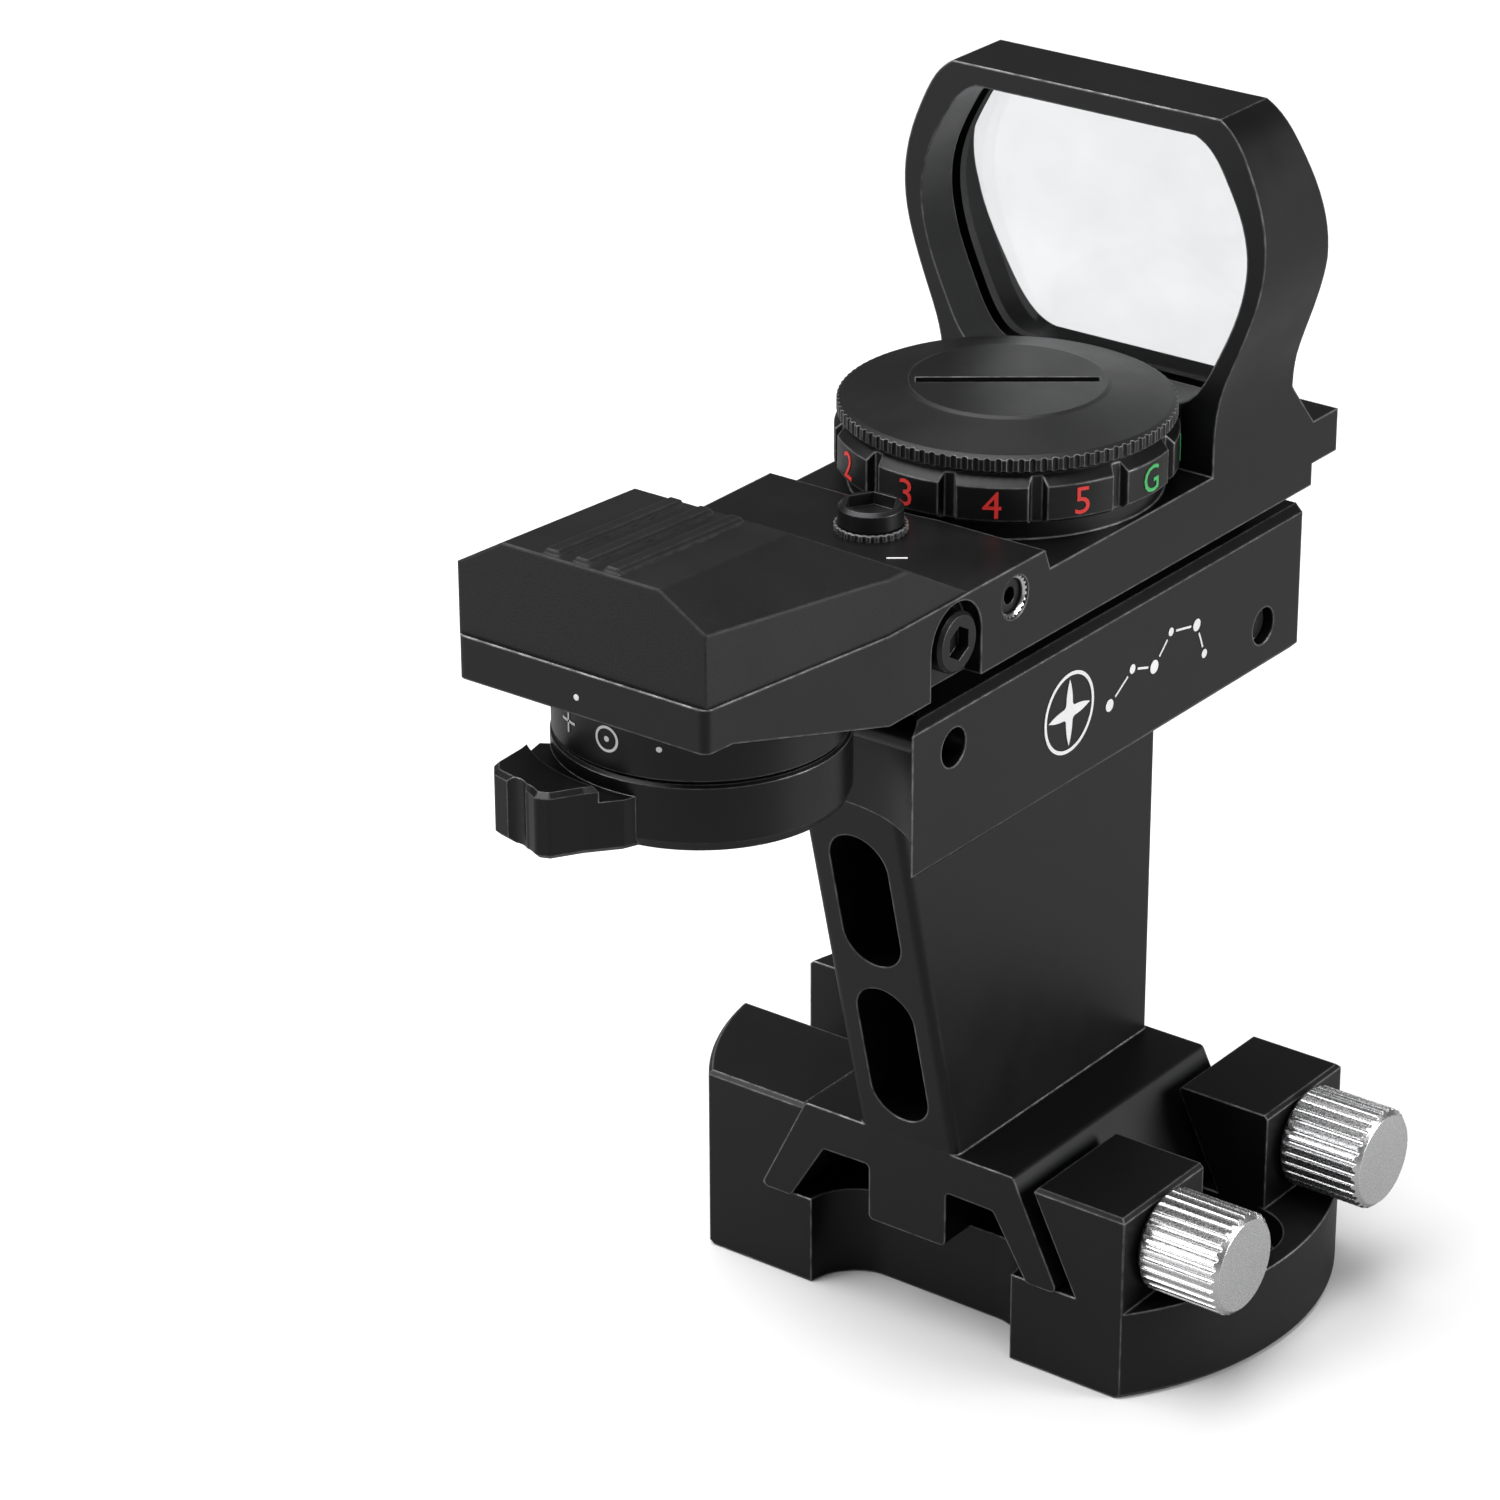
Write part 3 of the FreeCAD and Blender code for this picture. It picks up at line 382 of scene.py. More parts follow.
def metal_finish(
    name, colour, rough, streak=(9000.0, 260.0), strength=0.2, worn=(0.25, 0.25, 0.25)
):
    """Bare or plated metal: stretched streaks for the cut, a cloud for its tarnish, soft edges."""
    material, tree, surface = start_material(name, metallic=1.0)
    brushed = place_group(tree, brushed_group(), {"Across": streak[0], "Along": streak[1]})
    edges = place_group(tree, edge_group(), {"Radius": 0.00012})
    link = tree.links.new
    tarnish = ranged(tree, brushed.outputs["Smudge"], 0.0, 0.35, 0.45, 0.75)
    link(mixed_colour(tree, tarnish, colour, worn), surface.inputs["Base Color"])
    gloss = ranged(tree, brushed.outputs["Streak"], rough * 0.8, rough * 1.25)
    link(gloss, surface.inputs["Roughness"])
    link(
        bumped(tree, brushed.outputs["Streak"], strength, 0.00002, edges.outputs["Soft"]),
        surface.inputs["Normal"],
    )
    return material


def oxide_finish():
    """Black oxide on hard steel: dark, a little glossy, lighter brown-black along its edges, partly
    rubbed wear and partly a painted edge highlight.
    """
    material, tree, surface = start_material("black_oxide", metallic=0.75)
    grain = place_group(tree, grain_group(), {"Scale": 7000.0})
    edges = place_group(tree, edge_group(), {"Radius": 0.00012})
    link = tree.links.new
    # Lighter brown-black along the edges: partly rubbed wear, partly a painted edge highlight.
    rub_and_highlight = ranged(tree, edges.outputs["Rub"], 0.0, 0.5, 0.0, 1.0)
    black, worn = (0.028, 0.028, 0.030), (0.25, 0.24, 0.23)
    link(mixed_colour(tree, rub_and_highlight, black, worn), surface.inputs["Base Color"])
    link(ranged(tree, grain.outputs["Smudge"], 0.26, 0.40), surface.inputs["Roughness"])
    link(
        bumped(tree, grain.outputs["Grain"], 0.15, 0.00002, edges.outputs["Soft"]),
        surface.inputs["Normal"],
    )
    return material


def soft_finish(name, colour, other, rough, scale):
    """A non-metal with fine grain and a slow change of tone: rubber, epoxy, board or ink."""
    material, tree, surface = start_material(name)
    grain = place_group(tree, grain_group(), {"Scale": scale})
    link = tree.links.new
    tone = ranged(tree, grain.outputs["Smudge"], 0.0, 1.0)
    link(mixed_colour(tree, tone, colour, other), surface.inputs["Base Color"])
    gloss = ranged(tree, grain.outputs["Grain"], rough * 0.85, rough * 1.15)
    link(gloss, surface.inputs["Roughness"])
    link(bumped(tree, grain.outputs["Grain"], 0.12, 0.00002), surface.inputs["Normal"])
    return material


def floor_finish():
    """Pale paper. It is white where it is looked at and throws less light back at the metal."""
    material, tree, surface = start_material("floor_paper", ior=1.3)
    ray = new_tree_node(tree, "ShaderNodeLightPath")
    seen = new_tree_node(tree, "ShaderNodeMath", operation="MAXIMUM")
    tree.links.new(ray.outputs["Is Camera Ray"], seen.inputs[0])
    tree.links.new(ray.outputs["Is Transmission Ray"], seen.inputs[1])
    paper = mixed_colour(tree, seen.outputs[0], (0.3, 0.3, 0.3), (0.88, 0.88, 0.88))
    tree.links.new(paper, surface.inputs["Base Color"])
    surface.inputs["Roughness"].default_value = 0.6
    return material


def glass_finish(name, tint, dusty, rough):
    """Clear glass with a given grey tint, which on the lens is a painted reflection, and a breath
    of dust on it.
    """
    material, tree, surface = start_material(
        name, transmission_weight=1.0, ior=1.45, metallic=0.0, coat_roughness=0.04, coat_ior=1.6
    )
    grain = place_group(tree, grain_group(), {"Scale": 2600.0})
    link = tree.links.new
    tone = ranged(tree, grain.outputs["Smudge"], 0.0, 1.0)
    # The tint greys what is seen through the glass; on the lens this grey is a painted reflection.
    link(mixed_colour(tree, tone, tint, dusty), surface.inputs["Base Color"])
    gloss = ranged(tree, grain.outputs["Smudge"], rough * 0.4, rough * 1.6)
    link(gloss, surface.inputs["Roughness"])
    return material


def give(nodes, material):
    """Puts one finish on the named CAD nodes."""
    for name in nodes:
        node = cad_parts[name]
        if not node.material_slots:
            raise RuntimeError(name + " has no material slot")
        for slot in node.material_slots:
            slot.material = material


# ---------------------------------------------------------------- mesh helpers

def new_piece(name, points, faces, material, body, replaced=()):
    """A piece at the origin, its place in its mesh (points in metres), riding on a CAD body."""
    mesh = bpy.data.meshes.new(name)
    mesh.from_pydata(np.asarray(points).tolist(), [], faces)
    mesh.update()
    mesh.materials.append(material)
    piece = bpy.data.objects.new(name, mesh)
    bpy.context.scene.collection.objects.link(piece)
    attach(piece, body)
    if replaced:
        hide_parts(*replaced)
    return piece


def grid_faces(rows, columns, closed_rows=False, closed_columns=True):
    """Quads over a grid of points numbered row by row; a closed way joins its last to its first."""
    r = np.arange(rows if closed_rows else rows - 1)
    c = np.arange(columns if closed_columns else columns - 1)
    r, c = [a.ravel() for a in np.meshgrid(r, c, indexing="ij")]
    r1, c1 = (r + 1) % rows, (c + 1) % columns
    near, far = r * columns, r1 * columns
    return np.stack([near + c, near + c1, far + c1, far + c], axis=1).tolist()


def swept_strip(path, width, thick, closed):
    """A flat painted line: a rectangle width by thick carried along a path drawn in a plane.
    path is (n, 2); at each point the two sides stand half a width to either side, along the
    normal of the line. Returns points (4n, 3) as (u, v, height) and their faces."""
    path = np.asarray(path, dtype=float)
    if closed:
        ahead, behind = np.roll(path, -1, axis=0), np.roll(path, 1, axis=0)
    else:
        ahead, behind = np.vstack([path[1:], path[-1:]]), np.vstack([path[:1], path[:-1]])
    way = ahead - behind
    way /= np.linalg.norm(way, axis=1, keepdims=True)
    side = np.stack([-way[:, 1], way[:, 0]], axis=1) * width / 2
    left, right = path + side, path - side
    low, high = np.zeros(len(path)), np.full(len(path), thick)
    corners = np.stack(
        [
            np.column_stack([right, high]), np.column_stack([left, high]),
            np.column_stack([left, low]), np.column_stack([right, low]),
        ],
        axis=1,
    )
    faces = grid_faces(len(path), 4, closed_rows=closed)
    faces = [face[::-1] for face in faces]
    if not closed:
        last = 4 * (len(path) - 1)
        faces += [[0, 1, 2, 3], [last + 3, last + 2, last + 1, last]]
    return corners.reshape(-1, 3), faces


def disc_dot(centre, radius, thick, around=20):
    """A painted dot: rings that shrink to nothing at the top and the bottom of a low dome."""
    turn = np.linspace(0, 2 * np.pi, around, endpoint=False)
    rim = np.array([[0.02, 0.0], [1.0, 0.0], [1.0, 0.7], [0.8, 1.0], [0.02, 1.0]])
    u = centre[0] + radius * rim[:, :1] * np.cos(turn)
    v = centre[1] + radius * rim[:, :1] * np.sin(turn)
    h = np.repeat(rim[:, 1:] * thick, around, axis=1)
    points = np.stack([u, v, h], axis=2).reshape(-1, 3)
    faces = grid_faces(len(rim), around)
    faces += [list(range(around))[::-1], list(range((len(rim) - 1) * around, len(rim) * around))]
    return points, faces


def turned_ring(profile, around=48):
    """A ring: a closed outline of (radius, height) pairs carried once round an axis."""
    profile = np.asarray(profile, dtype=float)
    turn = np.linspace(0, 2 * np.pi, around, endpoint=False)
    u = profile[:, :1] * np.cos(turn)
    v = profile[:, :1] * np.sin(turn)
    h = np.repeat(profile[:, 1:], around, axis=1)
    points = np.stack([u, v, h], axis=2).reshape(-1, 3)
    return points, grid_faces(len(profile), around, closed_rows=True)


def star_outline(centre, reach, waist, tips=4, per_side=10):
    """Outline of a star whose sides curve inwards: the radius falls from reach at a tip to waist
    half-way to the next, along the curve of an astroid."""
    t = np.linspace(0, 2 * np.pi, tips * 2 * per_side, endpoint=False)
    fold = np.abs(((t * tips / np.pi) % 2.0) - 1.0)
    radius = waist + (reach - waist) * fold ** 2.6
    return np.column_stack([centre[0] + radius * np.sin(t), centre[1] + radius * np.cos(t)])


def filled(outline, thick):
    """A flat plate with the given outline: its top and bottom fan out from their middles."""
    n = len(outline)
    middle = outline.mean(axis=0)
    points = np.vstack(
        [
            np.column_stack([outline, np.zeros(n)]), np.column_stack([outline, np.full(n, thick)]),
            [[*middle, 0.0], [*middle, thick]],
        ]
    )
    i = np.arange(n)
    j = (i + 1) % n
    walls = np.stack([j, i, i + n, j + n], axis=1).tolist()
    top = np.stack([j + n, i + n, np.full(n, 2 * n + 1)], axis=1).tolist()
    under = np.stack([i, j, np.full(n, 2 * n)], axis=1).tolist()
    return points, walls + top + under


def joined(parts):
    """Several (points, faces) made one."""
    points, faces, start = [], [], 0
    for some, their in parts:
        points.append(np.asarray(some, dtype=float))
        faces += [[i + start for i in face] for face in their]
        start += len(some)
    return np.vstack(points), faces


def text_shape(words, height, thick):
    """Flat lettering as a closed mesh in millimetres, its middle at zero. It is drawn as a text
    curve, made a mesh, and the curve is then taken away."""
    curve = bpy.data.curves.new("lettering", "FONT")
    curve.body = words
    curve.size = height / CAPITAL_SHARE
    curve.align_x = "CENTER"
    curve.extrude = thick / 2
    curve.resolution_u = 3
    holder = bpy.data.objects.new("lettering", curve)
    bpy.context.scene.collection.objects.link(holder)
    bpy.context.view_layer.update()
    mesh = bpy.data.meshes.new_from_object(holder)
    points = np.empty(len(mesh.vertices) * 3)
    mesh.vertices.foreach_get("co", points)
    points = points.reshape(-1, 3)
    faces = [list(p.vertices) for p in mesh.polygons]
    bpy.data.objects.remove(holder)
    bpy.data.curves.remove(curve)
    bpy.data.meshes.remove(mesh)
    lo, hi = points.min(axis=0), points.max(axis=0)
    points -= (lo + hi) / 2
    points[:, 2] += thick / 2
    return points, faces


def on_cylinder(points, radius, axis_y, level, angle):
    """Wraps (u, v, height) round an upright cylinder of the finder. u runs round it, v is up, and
    the angle is counted from the rear, towards the thumbscrew side."""
    u, v, h = points.T
    turn = math.radians(angle) + u / radius
    reach = radius + h + INK_LIFT
    where = np.column_stack([reach * np.sin(turn), axis_y - reach * np.cos(turn), level + v])
    return where * MM + FINDER_ZERO


def on_side(points, x, y, z):
    """Lays (u, v, height) on a face that looks along +X: u runs forward along +Y."""
    u, v, h = points.T
    return np.column_stack([x + h + INK_LIFT, y + u, z + v]) * MM + FINDER_ZERO


def on_rear(points, x, y, z):
    """Lays (u, v, height) on a face that looks backwards, along -Y."""
    u, v, h = points.T
    return np.column_stack([x + u, y - h - INK_LIFT, z + v]) * MM + FINDER_ZERO


def on_deck(points, x, y, z):
    """Lays (u, v, height) on a level face that looks up."""
    u, v, h = points.T
    return np.column_stack([x + u, y + v, z + h + INK_LIFT]) * MM + FINDER_ZERO


def circle(centre, radius, count=40):
    """Points round a circle."""
    t = np.linspace(0, 2 * np.pi, count, endpoint=False)
    return np.column_stack([centre[0] + radius * np.cos(t), centre[1] + radius * np.sin(t)])


def thread_surface(start, end, radius, root, pitch, y, z, around=56, per_turn=10):
    """A single-start screw thread along +X. The radius at (x, angle) is that of the root plus a
    rounded ridge, whose phase is x over the pitch less the angle over a full turn. The ridge fades
    in over the first pitch, and a rounded tip closes the end."""
    tip = np.linspace(0, np.pi / 2, 8)[1:]
    tip_x = start + root * (1 - np.cos(tip)) * 0.9
    tip_r = root * np.sin(tip)
    steps = int((end - tip_x[-1]) / pitch * per_turn)
    x = np.linspace(tip_x[-1], end, steps)[1:]
    turn = np.linspace(0, 2 * np.pi, around, endpoint=False)
    phase = (x[:, None] / pitch - turn[None, :] / (2 * np.pi)) % 1.0
    ridge = np.clip(1.25 * (1 - np.abs(2 * phase - 1) * 1.35), 0, 1)
    fade = np.clip((x[:, None] - tip_x[-1]) / pitch, 0, 1)
    body_r = root + (radius - root) * ridge * fade
    all_x = np.concatenate([np.repeat(tip_x[:, None], around, 1), np.repeat(x[:, None], around, 1)])
    all_r = np.concatenate([np.repeat(tip_r[:, None], around, 1), body_r])
    ring = np.stack([all_x, y + all_r * np.cos(turn), z + all_r * np.sin(turn)], axis=2)
    points = np.vstack([ring.reshape(-1, 3), [[start, y, z], [end, y, z]]])
    rows = len(all_x)
    faces = grid_faces(rows, around)
    faces = [face[::-1] for face in faces]
    i = np.arange(around)
    j = (i + 1) % around
    first, last = rows * around, rows * around + 1
    faces += np.stack([j, i, np.full(around, first)], axis=1).tolist()
    base = (rows - 1) * around
    faces += np.stack([i + base, j + base, np.full(around, last)], axis=1).tolist()
    return points * MM, faces


def shade_smooth(piece, angle):
    """Smooth shading, kept sharp over the given angle."""
    mesh = piece.data
    mesh.shade_smooth()
    mesh.set_sharp_from_angle(angle=math.radians(angle))


# ---------------------------------------------------------------- settings

class FinishSettings(bpy.types.PropertyGroup):
    """Colours and edges of the finishes."""

    anodised_colour: FloatVectorProperty(
        name="Anodised", description="Colour of the black anodising", subtype="COLOR",
        default=(0.0036, 0.0036, 0.0039), min=0.0, max=1.0,
    )
    moulded_colour: FloatVectorProperty(
        name="Moulding", description="Colour of the moulded cover", subtype="COLOR",
        default=(0.0075, 0.0075, 0.0080), min=0.0, max=1.0,
    )
    silver_colour: FloatVectorProperty(
        name="Thumbscrews", description="Colour of the knurled heads", subtype="COLOR",
        default=(0.86, 0.86, 0.87), min=0.0, max=1.0,
    )
    edge_round: FloatProperty(
        name="Edge rounding", description="How far the light rounds over an edge", default=0.00028,
        min=0.0, unit="LENGTH",
    )
    # How far the edges are painted towards bright bare metal: partly wear, partly a painted edge
    # highlight.
    edge_rub_and_highlight: FloatProperty(
        name="Edge rub", description="How much metal shows along the edges", default=0.55,
        min=0.0, max=1.0, subtype="FACTOR",
    )


class ThreadSettings(bpy.types.PropertyGroup):
    """Sizes of the thumbscrews' threads."""

    pitch: FloatProperty(
        name="Pitch", description="Rise of the thread in one turn", default=0.0007, min=0.0002,
        unit="LENGTH",
    )
    depth: FloatProperty(
        name="Depth", description="Height of the ridge", default=0.00038, min=0.0001, unit="LENGTH"
    )
    round_steps: IntProperty(
        name="Round steps", description="Steps round a turned piece", default=56, min=16, max=128
    )


class MarkSettings(bpy.types.PropertyGroup):
    """Sizes and inks of the markings."""

    digit_height: FloatProperty(
        name="Digit height", description="Height of the dial's figures", default=0.0024, min=0.0005,
        unit="LENGTH",
    )
    line_width: FloatProperty(
        name="Line width", description="Width of the painted lines", default=0.00022, min=0.00005,
        unit="LENGTH",
    )
    red_ink: FloatVectorProperty(
        name="Red ink", description="Figures for the red reticle", subtype="COLOR",
        default=(0.78, 0.035, 0.03), min=0.0, max=1.0,
    )
    green_ink: FloatVectorProperty(
        name="Green ink", description="Figures for the green reticle", subtype="COLOR",
        default=(0.05, 0.46, 0.12), min=0.0, max=1.0,
    )


class StageSettings(bpy.types.PropertyGroup):
    """Floor, light and lens."""

    floor_size: FloatProperty(
        name="Floor", description="Width of the floor", default=6.0, min=0.5, unit="LENGTH"
    )
    lens_length: FloatProperty(
        name="Lens", description="Focal length of the camera", default=126.6, min=10.0
    )
    light: FloatProperty(
        name="Light", description="Strength of the soft boxes", default=1.0, min=0.0
    )


# ---------------------------------------------------------------- operators

class FINDER_OT_black_metal(bpy.types.Operator):
    """Finish the anodised pieces: shoe, riser, clamp jaw, sight frame, dial, cap and turret"""

    bl_idname = "finder.black_metal"
    bl_label = "Black metal"

    def execute(self, context):
        settings = context.scene.finder_finish
        give(BRUSHED_NODES, brushed_finish(settings))
        give(BLASTED_NODES, blasted_finish(settings))
        give(("battery_cap",), turned_finish("turned_cap", settings, DIAL_AXIS_Y, (0.36, 0.46)))
        give(TURRET_NODES, turned_finish("turned_turret", settings, TURRET_AXIS_Y, (0.26, 0.36)))
        return {"FINISHED"}


class FINDER_OT_mouldings(bpy.types.Operator):
    """Finish the moulded cover and the mouldings under it"""

    bl_idname = "finder.mouldings"
    bl_label = "Mouldings"

    def execute(self, context):
        give(MOULDED_NODES, moulded_finish(context.scene.finder_finish))
        return {"FINISHED"}


class FINDER_OT_hardware(bpy.types.Operator):
    """Finish the screws, springs, cell, contacts and seals"""

    bl_idname = "finder.hardware"
    bl_label = "Hardware"

    def execute(self, context):
        silver = tuple(context.scene.finder_finish.silver_colour)
        knurl = (5200.0, 5200.0)
        give(
            SILVER_NODES,
            metal_finish("knurled_silver", silver, 0.27, knurl, 0.1, (0.55, 0.55, 0.55)),
        )
        give(OXIDE_NODES, oxide_finish())
        give(SPRING_NODES, metal_finish("spring_steel", (0.56, 0.56, 0.57), 0.28))
        plated = (
            ("coin_cell", "cell_nickel", (0.72, 0.71, 0.69), 0.22, (0.5, 0.49, 0.46)),
            ("dial_hub", "turned_brass", (0.78, 0.57, 0.26), 0.26, (0.42, 0.3, 0.14)),
        )
        for node, name, colour, rough, worn in plated:
            give((node,), metal_finish(name, colour, rough, worn=worn))
        soft = (
            (RUBBER_NODES, "soft_rubber", (0.016, 0.016, 0.016), (0.03, 0.03, 0.03), 0.72, 4200.0),
            (BOARD_NODES, "solder_mask", (0.02, 0.17, 0.06), (0.03, 0.23, 0.09), 0.3, 3000.0),
            (("led",), "led_epoxy", (0.72, 0.10, 0.07), (0.8, 0.2, 0.15), 0.2, 3000.0),
        )
        for nodes, *finish in soft:
            give(nodes, soft_finish(*finish))
        return {"FINISHED"}


class FINDER_OT_glass(bpy.types.Operator):
    """Finish the coated lens and the small window before the light"""

    bl_idname = "finder.glass"
    bl_label = "Glass"

    def execute(self, context):
        # The lens's grey tint is a painted reflection: it greys what is seen through it.
        give(("lens",), glass_finish("coated_glass", (0.74, 0.75, 0.76), (0.66, 0.67, 0.68), 0.02))
        clear, dusty = (0.93, 0.93, 0.93), (0.9, 0.9, 0.9)
        give(("emitter_window",), glass_finish("window_plastic", clear, dusty, 0.04))
        return {"FINISHED"}


class FINDER_OT_thumb_threads(bpy.types.Operator):
    """Cut the threads of the two thumbscrews, with their rounded tips"""

    bl_idname = "finder.thumb_threads"
    bl_label = "Thumbscrew threads"

    def execute(self, context):
        settings = context.scene.finder_thread
        steel = metal_finish("bright_thread", (0.74, 0.74, 0.75), 0.2, (7000.0, 7000.0), 0.1)
        around = settings.round_steps
        for place in ("rear", "front"):
            node = "thumb_shank_" + place
            low, high = [np.array(corner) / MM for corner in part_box(node)]
            middle = (low + high) / 2
            radius = (high[1] - low[1]) / 2
            points, faces = thread_surface(
                low[0], high[0], radius, radius - settings.depth / MM, settings.pitch / MM,
                middle[1], middle[2], around,
            )
            body = place + "_thumb_shank"
            name = "thumb_thread_" + place
            piece = new_piece(name, points, faces, steel, body, [node])
            shade_smooth(piece, 50)
        return {"FINISHED"}


class FINDER_OT_dial_figures(bpy.types.Operator):
    """Paint the dial's figures: R and 1 to 5 in red, G and 1 to 5 in green"""

    bl_idname = "finder.dial_figures"
    bl_label = "Dial figures"

    def execute(self, context):
        settings = context.scene.finder_marks
        height = settings.digit_height / MM
        inks = (
            ("red", "R12345", -90, tuple(settings.red_ink), (0.62, 0.03, 0.025)),
            ("green", "G12345", 90, tuple(settings.green_ink), (0.04, 0.36, 0.09)),
        )
        for name, letters, first, ink, worn in inks:
            parts = []
            for i, letter in enumerate(letters):
                points, faces = text_shape(letter, height, INK_THICK)
                angle = first + 30 * i
                place = on_cylinder(points, DIAL_RADIUS, DIAL_AXIS_Y, DIAL_FIGURES_Z, angle)
                parts.append((place, faces))
            points, faces = joined(parts)
            paint = soft_finish("ink_" + name, ink, worn, 0.5, 4000.0)
            new_piece("dial_figures_" + name, points, faces, paint, "brightness_dial")
        return {"FINISHED"}


class FINDER_OT_turret_marks(bpy.types.Operator):
    """Paint the four patterns round the turret: ringed dot, dot, cross and dotted cross"""

    bl_idname = "finder.turret_marks"
    bl_label = "Turret marks"

    def execute(self, context):
        width = context.scene.finder_marks.line_width / MM
        dot = disc_dot((0, 0), 0.24, INK_THICK)

        def cross(reach, gap):
            arms = []
            for way in ((1, 0), (0, 1), (-1, 0), (0, -1)):
                way = np.array(way, dtype=float)
                line = np.linspace(gap, reach, 3)[:, None] * way
                arms.append(swept_strip(line, width, INK_THICK, False))
            return arms

        marks = {
            0: [swept_strip(circle((0, 0), 1.0), width, INK_THICK, True), dot],
            22: [dot],
            -22: cross(0.95, 0.12),
            -44: cross(1.0, 0.42) + [dot],
        }
        parts = [
            (on_cylinder(points, TURRET_RADIUS, TURRET_AXIS_Y, TURRET_MARKS_Z, angle), faces)
            for angle, shapes in marks.items()
            for points, faces in shapes
        ]
        points, faces = joined(parts)
        new_piece("turret_marks", points, faces, white_ink(), "reticle_turret")
        return {"FINISHED"}


class FINDER_OT_index_marks(bpy.types.Operator):
    """Paint the fixed index dot over the turret and the tick beside the dial"""

    bl_idname = "finder.index_marks"
    bl_label = "Index marks"

    def execute(self, context):
        width = context.scene.finder_marks.line_width / MM
        points, faces = disc_dot((0, 0), 0.26, INK_THICK)
        dot = on_rear(points, *INDEX_DOT_AT), faces
        line = np.linspace(-0.85, 0.85, 3)[:, None] * (math.cos(TICK_TURN), math.sin(TICK_TURN))
        points, faces = swept_strip(line, width, INK_THICK, False)
        tick = on_deck(points, *TICK_AT), faces
        points, faces = joined([dot, tick])
        new_piece("index_marks", points, faces, white_ink(), "finder")
        return {"FINISHED"}


class FINDER_OT_bare_countersink(bpy.types.Operator):
    """Cut the bare, bright countersink round the locking screw's hole"""

    bl_idname = "finder.bare_countersink"
    bl_label = "Bare countersink"

    def execute(self, context):
        steel = metal_finish("bare_cut", (0.78, 0.78, 0.79), 0.2, (4000.0, 4000.0), 0.08)
        points, faces = turned_ring([(1.52, -0.40), (1.90, -0.02), (1.93, 0.01), (1.50, -0.36)])
        u, v, h = points.T
        place = (np.column_stack([h, u, v]) + LOCK_HOLE_AT) * MM + FINDER_ZERO
        new_piece("lock_hole_cut", place, faces, steel, "finder")
        return {"FINISHED"}


class FINDER_OT_side_emblem(bpy.types.Operator):
    """Print a plain star chart on the side of the riser: a ringed star and a few joined dots"""

    bl_idname = "finder.side_emblem"
    bl_label = "Side emblem"

    def execute(self, context):
        width = context.scene.finder_marks.line_width / MM
        shapes = [
            filled(star_outline((0, 0), 2.7, 0.75), INK_THICK),
            swept_strip(circle((0, 0), 3.1, 64), width * 1.3, INK_THICK, True),
        ]
        stars = np.array(
            [[5.4, -1.4], [8.4, 0.5], [11.4, -0.4], [13.6, 1.7], [17.2, 1.0], [18.4, -1.8]]
        )
        sizes = (0.5, 0.38, 0.55, 0.34, 0.5, 0.36)
        for centre, size in zip(stars, sizes):
            shapes.append(disc_dot(centre, size, INK_THICK))
        for a, b, ra, rb in zip(stars[:-1], stars[1:], sizes[:-1], sizes[1:]):
            way = (b - a) / np.linalg.norm(b - a)
            line = np.linspace(a + way * (ra + 0.35), b - way * (rb + 0.35), 3)
            shapes.append(swept_strip(line, width * 0.8, INK_THICK, False))
        points, faces = joined(shapes)
        points *= (EMBLEM_SCALE, EMBLEM_SCALE, 1.0)
        new_piece("side_emblem", on_side(points, *EMBLEM_AT), faces, white_ink(), "finder")
        return {"FINISHED"}


def white_ink():
    """Slightly worn white marking ink, mixed the first time that it is wanted."""
    name = "ink_white"
    fresh, worn = (0.83, 0.83, 0.84), (0.66, 0.66, 0.67)
    return bpy.data.materials.get(name) or soft_finish(name, fresh, worn, 0.5, 4000.0)


def add_softbox(name, place, target, size, power):
    """A rectangular soft white light that looks at a point."""
    light = bpy.data.lights.new(name, "AREA")
    light.shape = "RECTANGLE"
    light.size, light.size_y = size
    light.energy = power
    lamp = bpy.data.objects.new(name, light)
    place, target = np.array(place), np.array(target)
    back = place - target
    back /= np.linalg.norm(back)
    right = np.cross((0.0, 0.0, 1.0), back)
    right /= np.linalg.norm(right)
    up = np.cross(back, right)
    turn = np.column_stack([right, up, back])
    matrix = np.eye(4)
    matrix[:3, :3], matrix[:3, 3] = turn, place
    lamp.matrix_world = Matrix(matrix.tolist())
    bpy.context.scene.collection.objects.link(lamp)


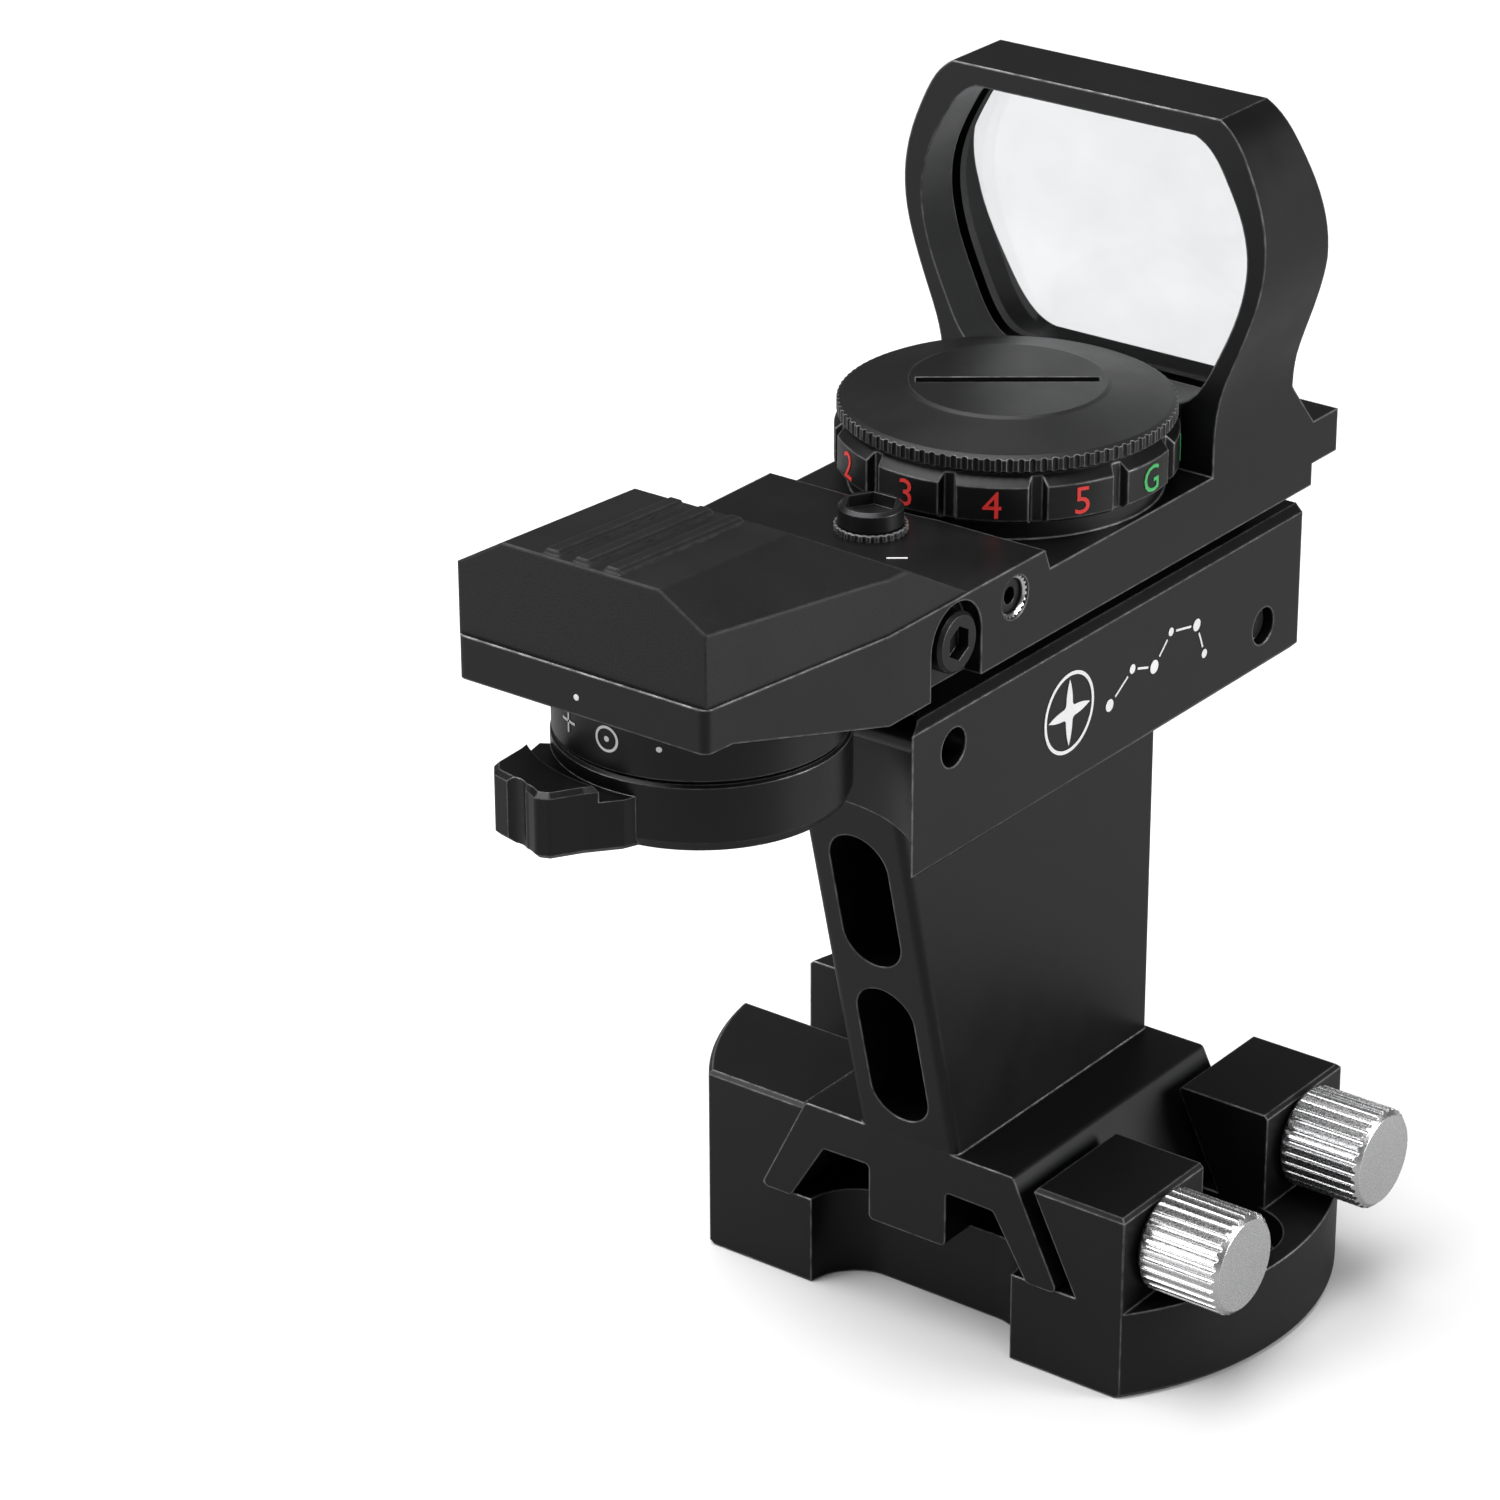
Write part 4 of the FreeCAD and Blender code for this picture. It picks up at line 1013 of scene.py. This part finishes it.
class FINDER_OT_stage(bpy.types.Operator):
    """Lay the pale floor, hang the soft boxes and set the camera"""

    bl_idname = "finder.stage"
    bl_label = "Stage"

    def execute(self, context):
        settings = context.scene.finder_stage
        self.floor(settings.floor_size)
        self.lights(settings.light)
        self.camera(settings.lens_length)
        return {"FINISHED"}

    def floor(self, size):
        """A flat sheet: rows and columns of points on the ground."""
        side = np.linspace(-size / 2, size / 2, 9)
        x, y = np.meshgrid(side, side, indexing="ij")
        points = np.stack([x, y, np.full_like(x, -0.0001)], axis=2).reshape(-1, 3)
        mesh = bpy.data.meshes.new("floor")
        mesh.from_pydata(points.tolist(), [], [f[::-1] for f in grid_faces(9, 9, False, False)])
        mesh.update()
        mesh.materials.append(floor_finish())
        floor = bpy.data.objects.new("floor", mesh)
        bpy.context.scene.collection.objects.link(floor)

    def lights(self, strength):
        """White surroundings and three soft boxes."""
        world = bpy.data.worlds.new("studio")
        world.use_nodes = True
        tree = world.node_tree
        tree.nodes.clear()
        sky = new_tree_node(tree, "ShaderNodeBackground", {"Color": (1, 1, 1, 1)})
        ray = new_tree_node(tree, "ShaderNodeLightPath")
        behind = new_tree_node(tree, "ShaderNodeMath", {1: 0.8}, operation="MULTIPLY_ADD")
        straight = new_tree_node(tree, "ShaderNodeMath", operation="MAXIMUM")
        output = new_tree_node(tree, "ShaderNodeOutputWorld")
        behind.inputs[2].default_value = 0.1
        tree.links.new(ray.outputs["Is Transmission Ray"], behind.inputs[0])
        tree.links.new(ray.outputs["Is Camera Ray"], straight.inputs[0])
        tree.links.new(behind.outputs[0], straight.inputs[1])
        tree.links.new(straight.outputs[0], sky.inputs["Strength"])
        tree.links.new(sky.outputs[0], output.inputs["Surface"])
        bpy.context.scene.world = world
        middle = (0.0, 0.0, 0.06)
        add_softbox("top_box", (-0.20, -0.20, 0.92), middle, (1.1, 1.0), 17.0 * strength)
        add_softbox("side_box", (0.75, 0.30, 0.22), middle, (0.35, 0.5), 6.5 * strength)
        add_softbox("rear_box", (-0.45, -0.65, 0.25), middle, (0.3, 0.4), 2.6 * strength)

    def camera(self, lens):
        """Behind, to the right of and above the finder, looking down at it."""
        camera = bpy.data.objects.new("camera", bpy.data.cameras.new("camera"))
        camera.data.lens = lens
        camera.data.sensor_width = 36.0
        camera.data.clip_start, camera.data.clip_end = 0.01, 20.0
        right = np.array([0.7942, 0.6077, 0.0])
        back = np.array([0.5504, -0.7193, 0.4239])
        right -= back * right.dot(back) / back.dot(back)
        back /= np.linalg.norm(back)
        right /= np.linalg.norm(right)
        roll = math.radians(-0.29)
        up = np.cross(back, right)
        right, up = (
            right * math.cos(roll) + up * math.sin(roll),
            up * math.cos(roll) - right * math.sin(roll),
        )
        matrix = np.eye(4)
        matrix[:3, :3] = np.column_stack([right, up, back])
        matrix[:3, 3] = (0.2329, -0.3446, 0.24345)
        camera.matrix_world = Matrix(matrix.tolist())
        bpy.context.scene.collection.objects.link(camera)
        bpy.context.scene.camera = camera
        bpy.context.scene.view_settings.view_transform = "Standard"


class FINDER_PT_panel(bpy.types.Panel):
    """Everything that makes the finder's looks"""

    bl_label = "Reflex finder"
    bl_idname = "FINDER_PT_panel"
    bl_space_type = "VIEW_3D"
    bl_region_type = "UI"
    bl_category = "Finder"

    def draw(self, context):
        layout = self.layout
        scene = context.scene
        for group in SETTINGS:
            settings = getattr(scene, group)
            box = layout.box()
            for key in settings.bl_rna.properties.keys():
                if key not in {"rna_type", "name"}:
                    box.prop(settings, key)
        for operator in OPERATORS:
            layout.operator(operator.bl_idname)


SETTINGS = {
    "finder_finish": FinishSettings,
    "finder_thread": ThreadSettings,
    "finder_marks": MarkSettings,
    "finder_stage": StageSettings,
}
OPERATORS = (
    FINDER_OT_black_metal,
    FINDER_OT_mouldings,
    FINDER_OT_hardware,
    FINDER_OT_glass,
    FINDER_OT_thumb_threads,
    FINDER_OT_dial_figures,
    FINDER_OT_turret_marks,
    FINDER_OT_index_marks,
    FINDER_OT_bare_countersink,
    FINDER_OT_side_emblem,
    FINDER_OT_stage,
)


def register():
    for group in SETTINGS.values():
        bpy.utils.register_class(group)
    for operator in OPERATORS:
        bpy.utils.register_class(operator)
    bpy.utils.register_class(FINDER_PT_panel)
    for name, group in SETTINGS.items():
        setattr(bpy.types.Scene, name, PointerProperty(type=group))


def unregister():
    for name in SETTINGS:
        delattr(bpy.types.Scene, name)
    bpy.utils.unregister_class(FINDER_PT_panel)
    for operator in reversed(OPERATORS):
        bpy.utils.unregister_class(operator)
    for group in SETTINGS.values():
        bpy.utils.unregister_class(group)


def main():
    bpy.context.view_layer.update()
    register()
    bpy.ops.finder.black_metal()
    bpy.ops.finder.mouldings()
    bpy.ops.finder.hardware()
    bpy.ops.finder.glass()
    bpy.ops.finder.thumb_threads()
    bpy.ops.finder.dial_figures()
    bpy.ops.finder.turret_marks()
    bpy.ops.finder.index_marks()
    bpy.ops.finder.bare_countersink()
    bpy.ops.finder.side_emblem()
    bpy.ops.finder.stage()


if __name__ == "__main__":
    main()
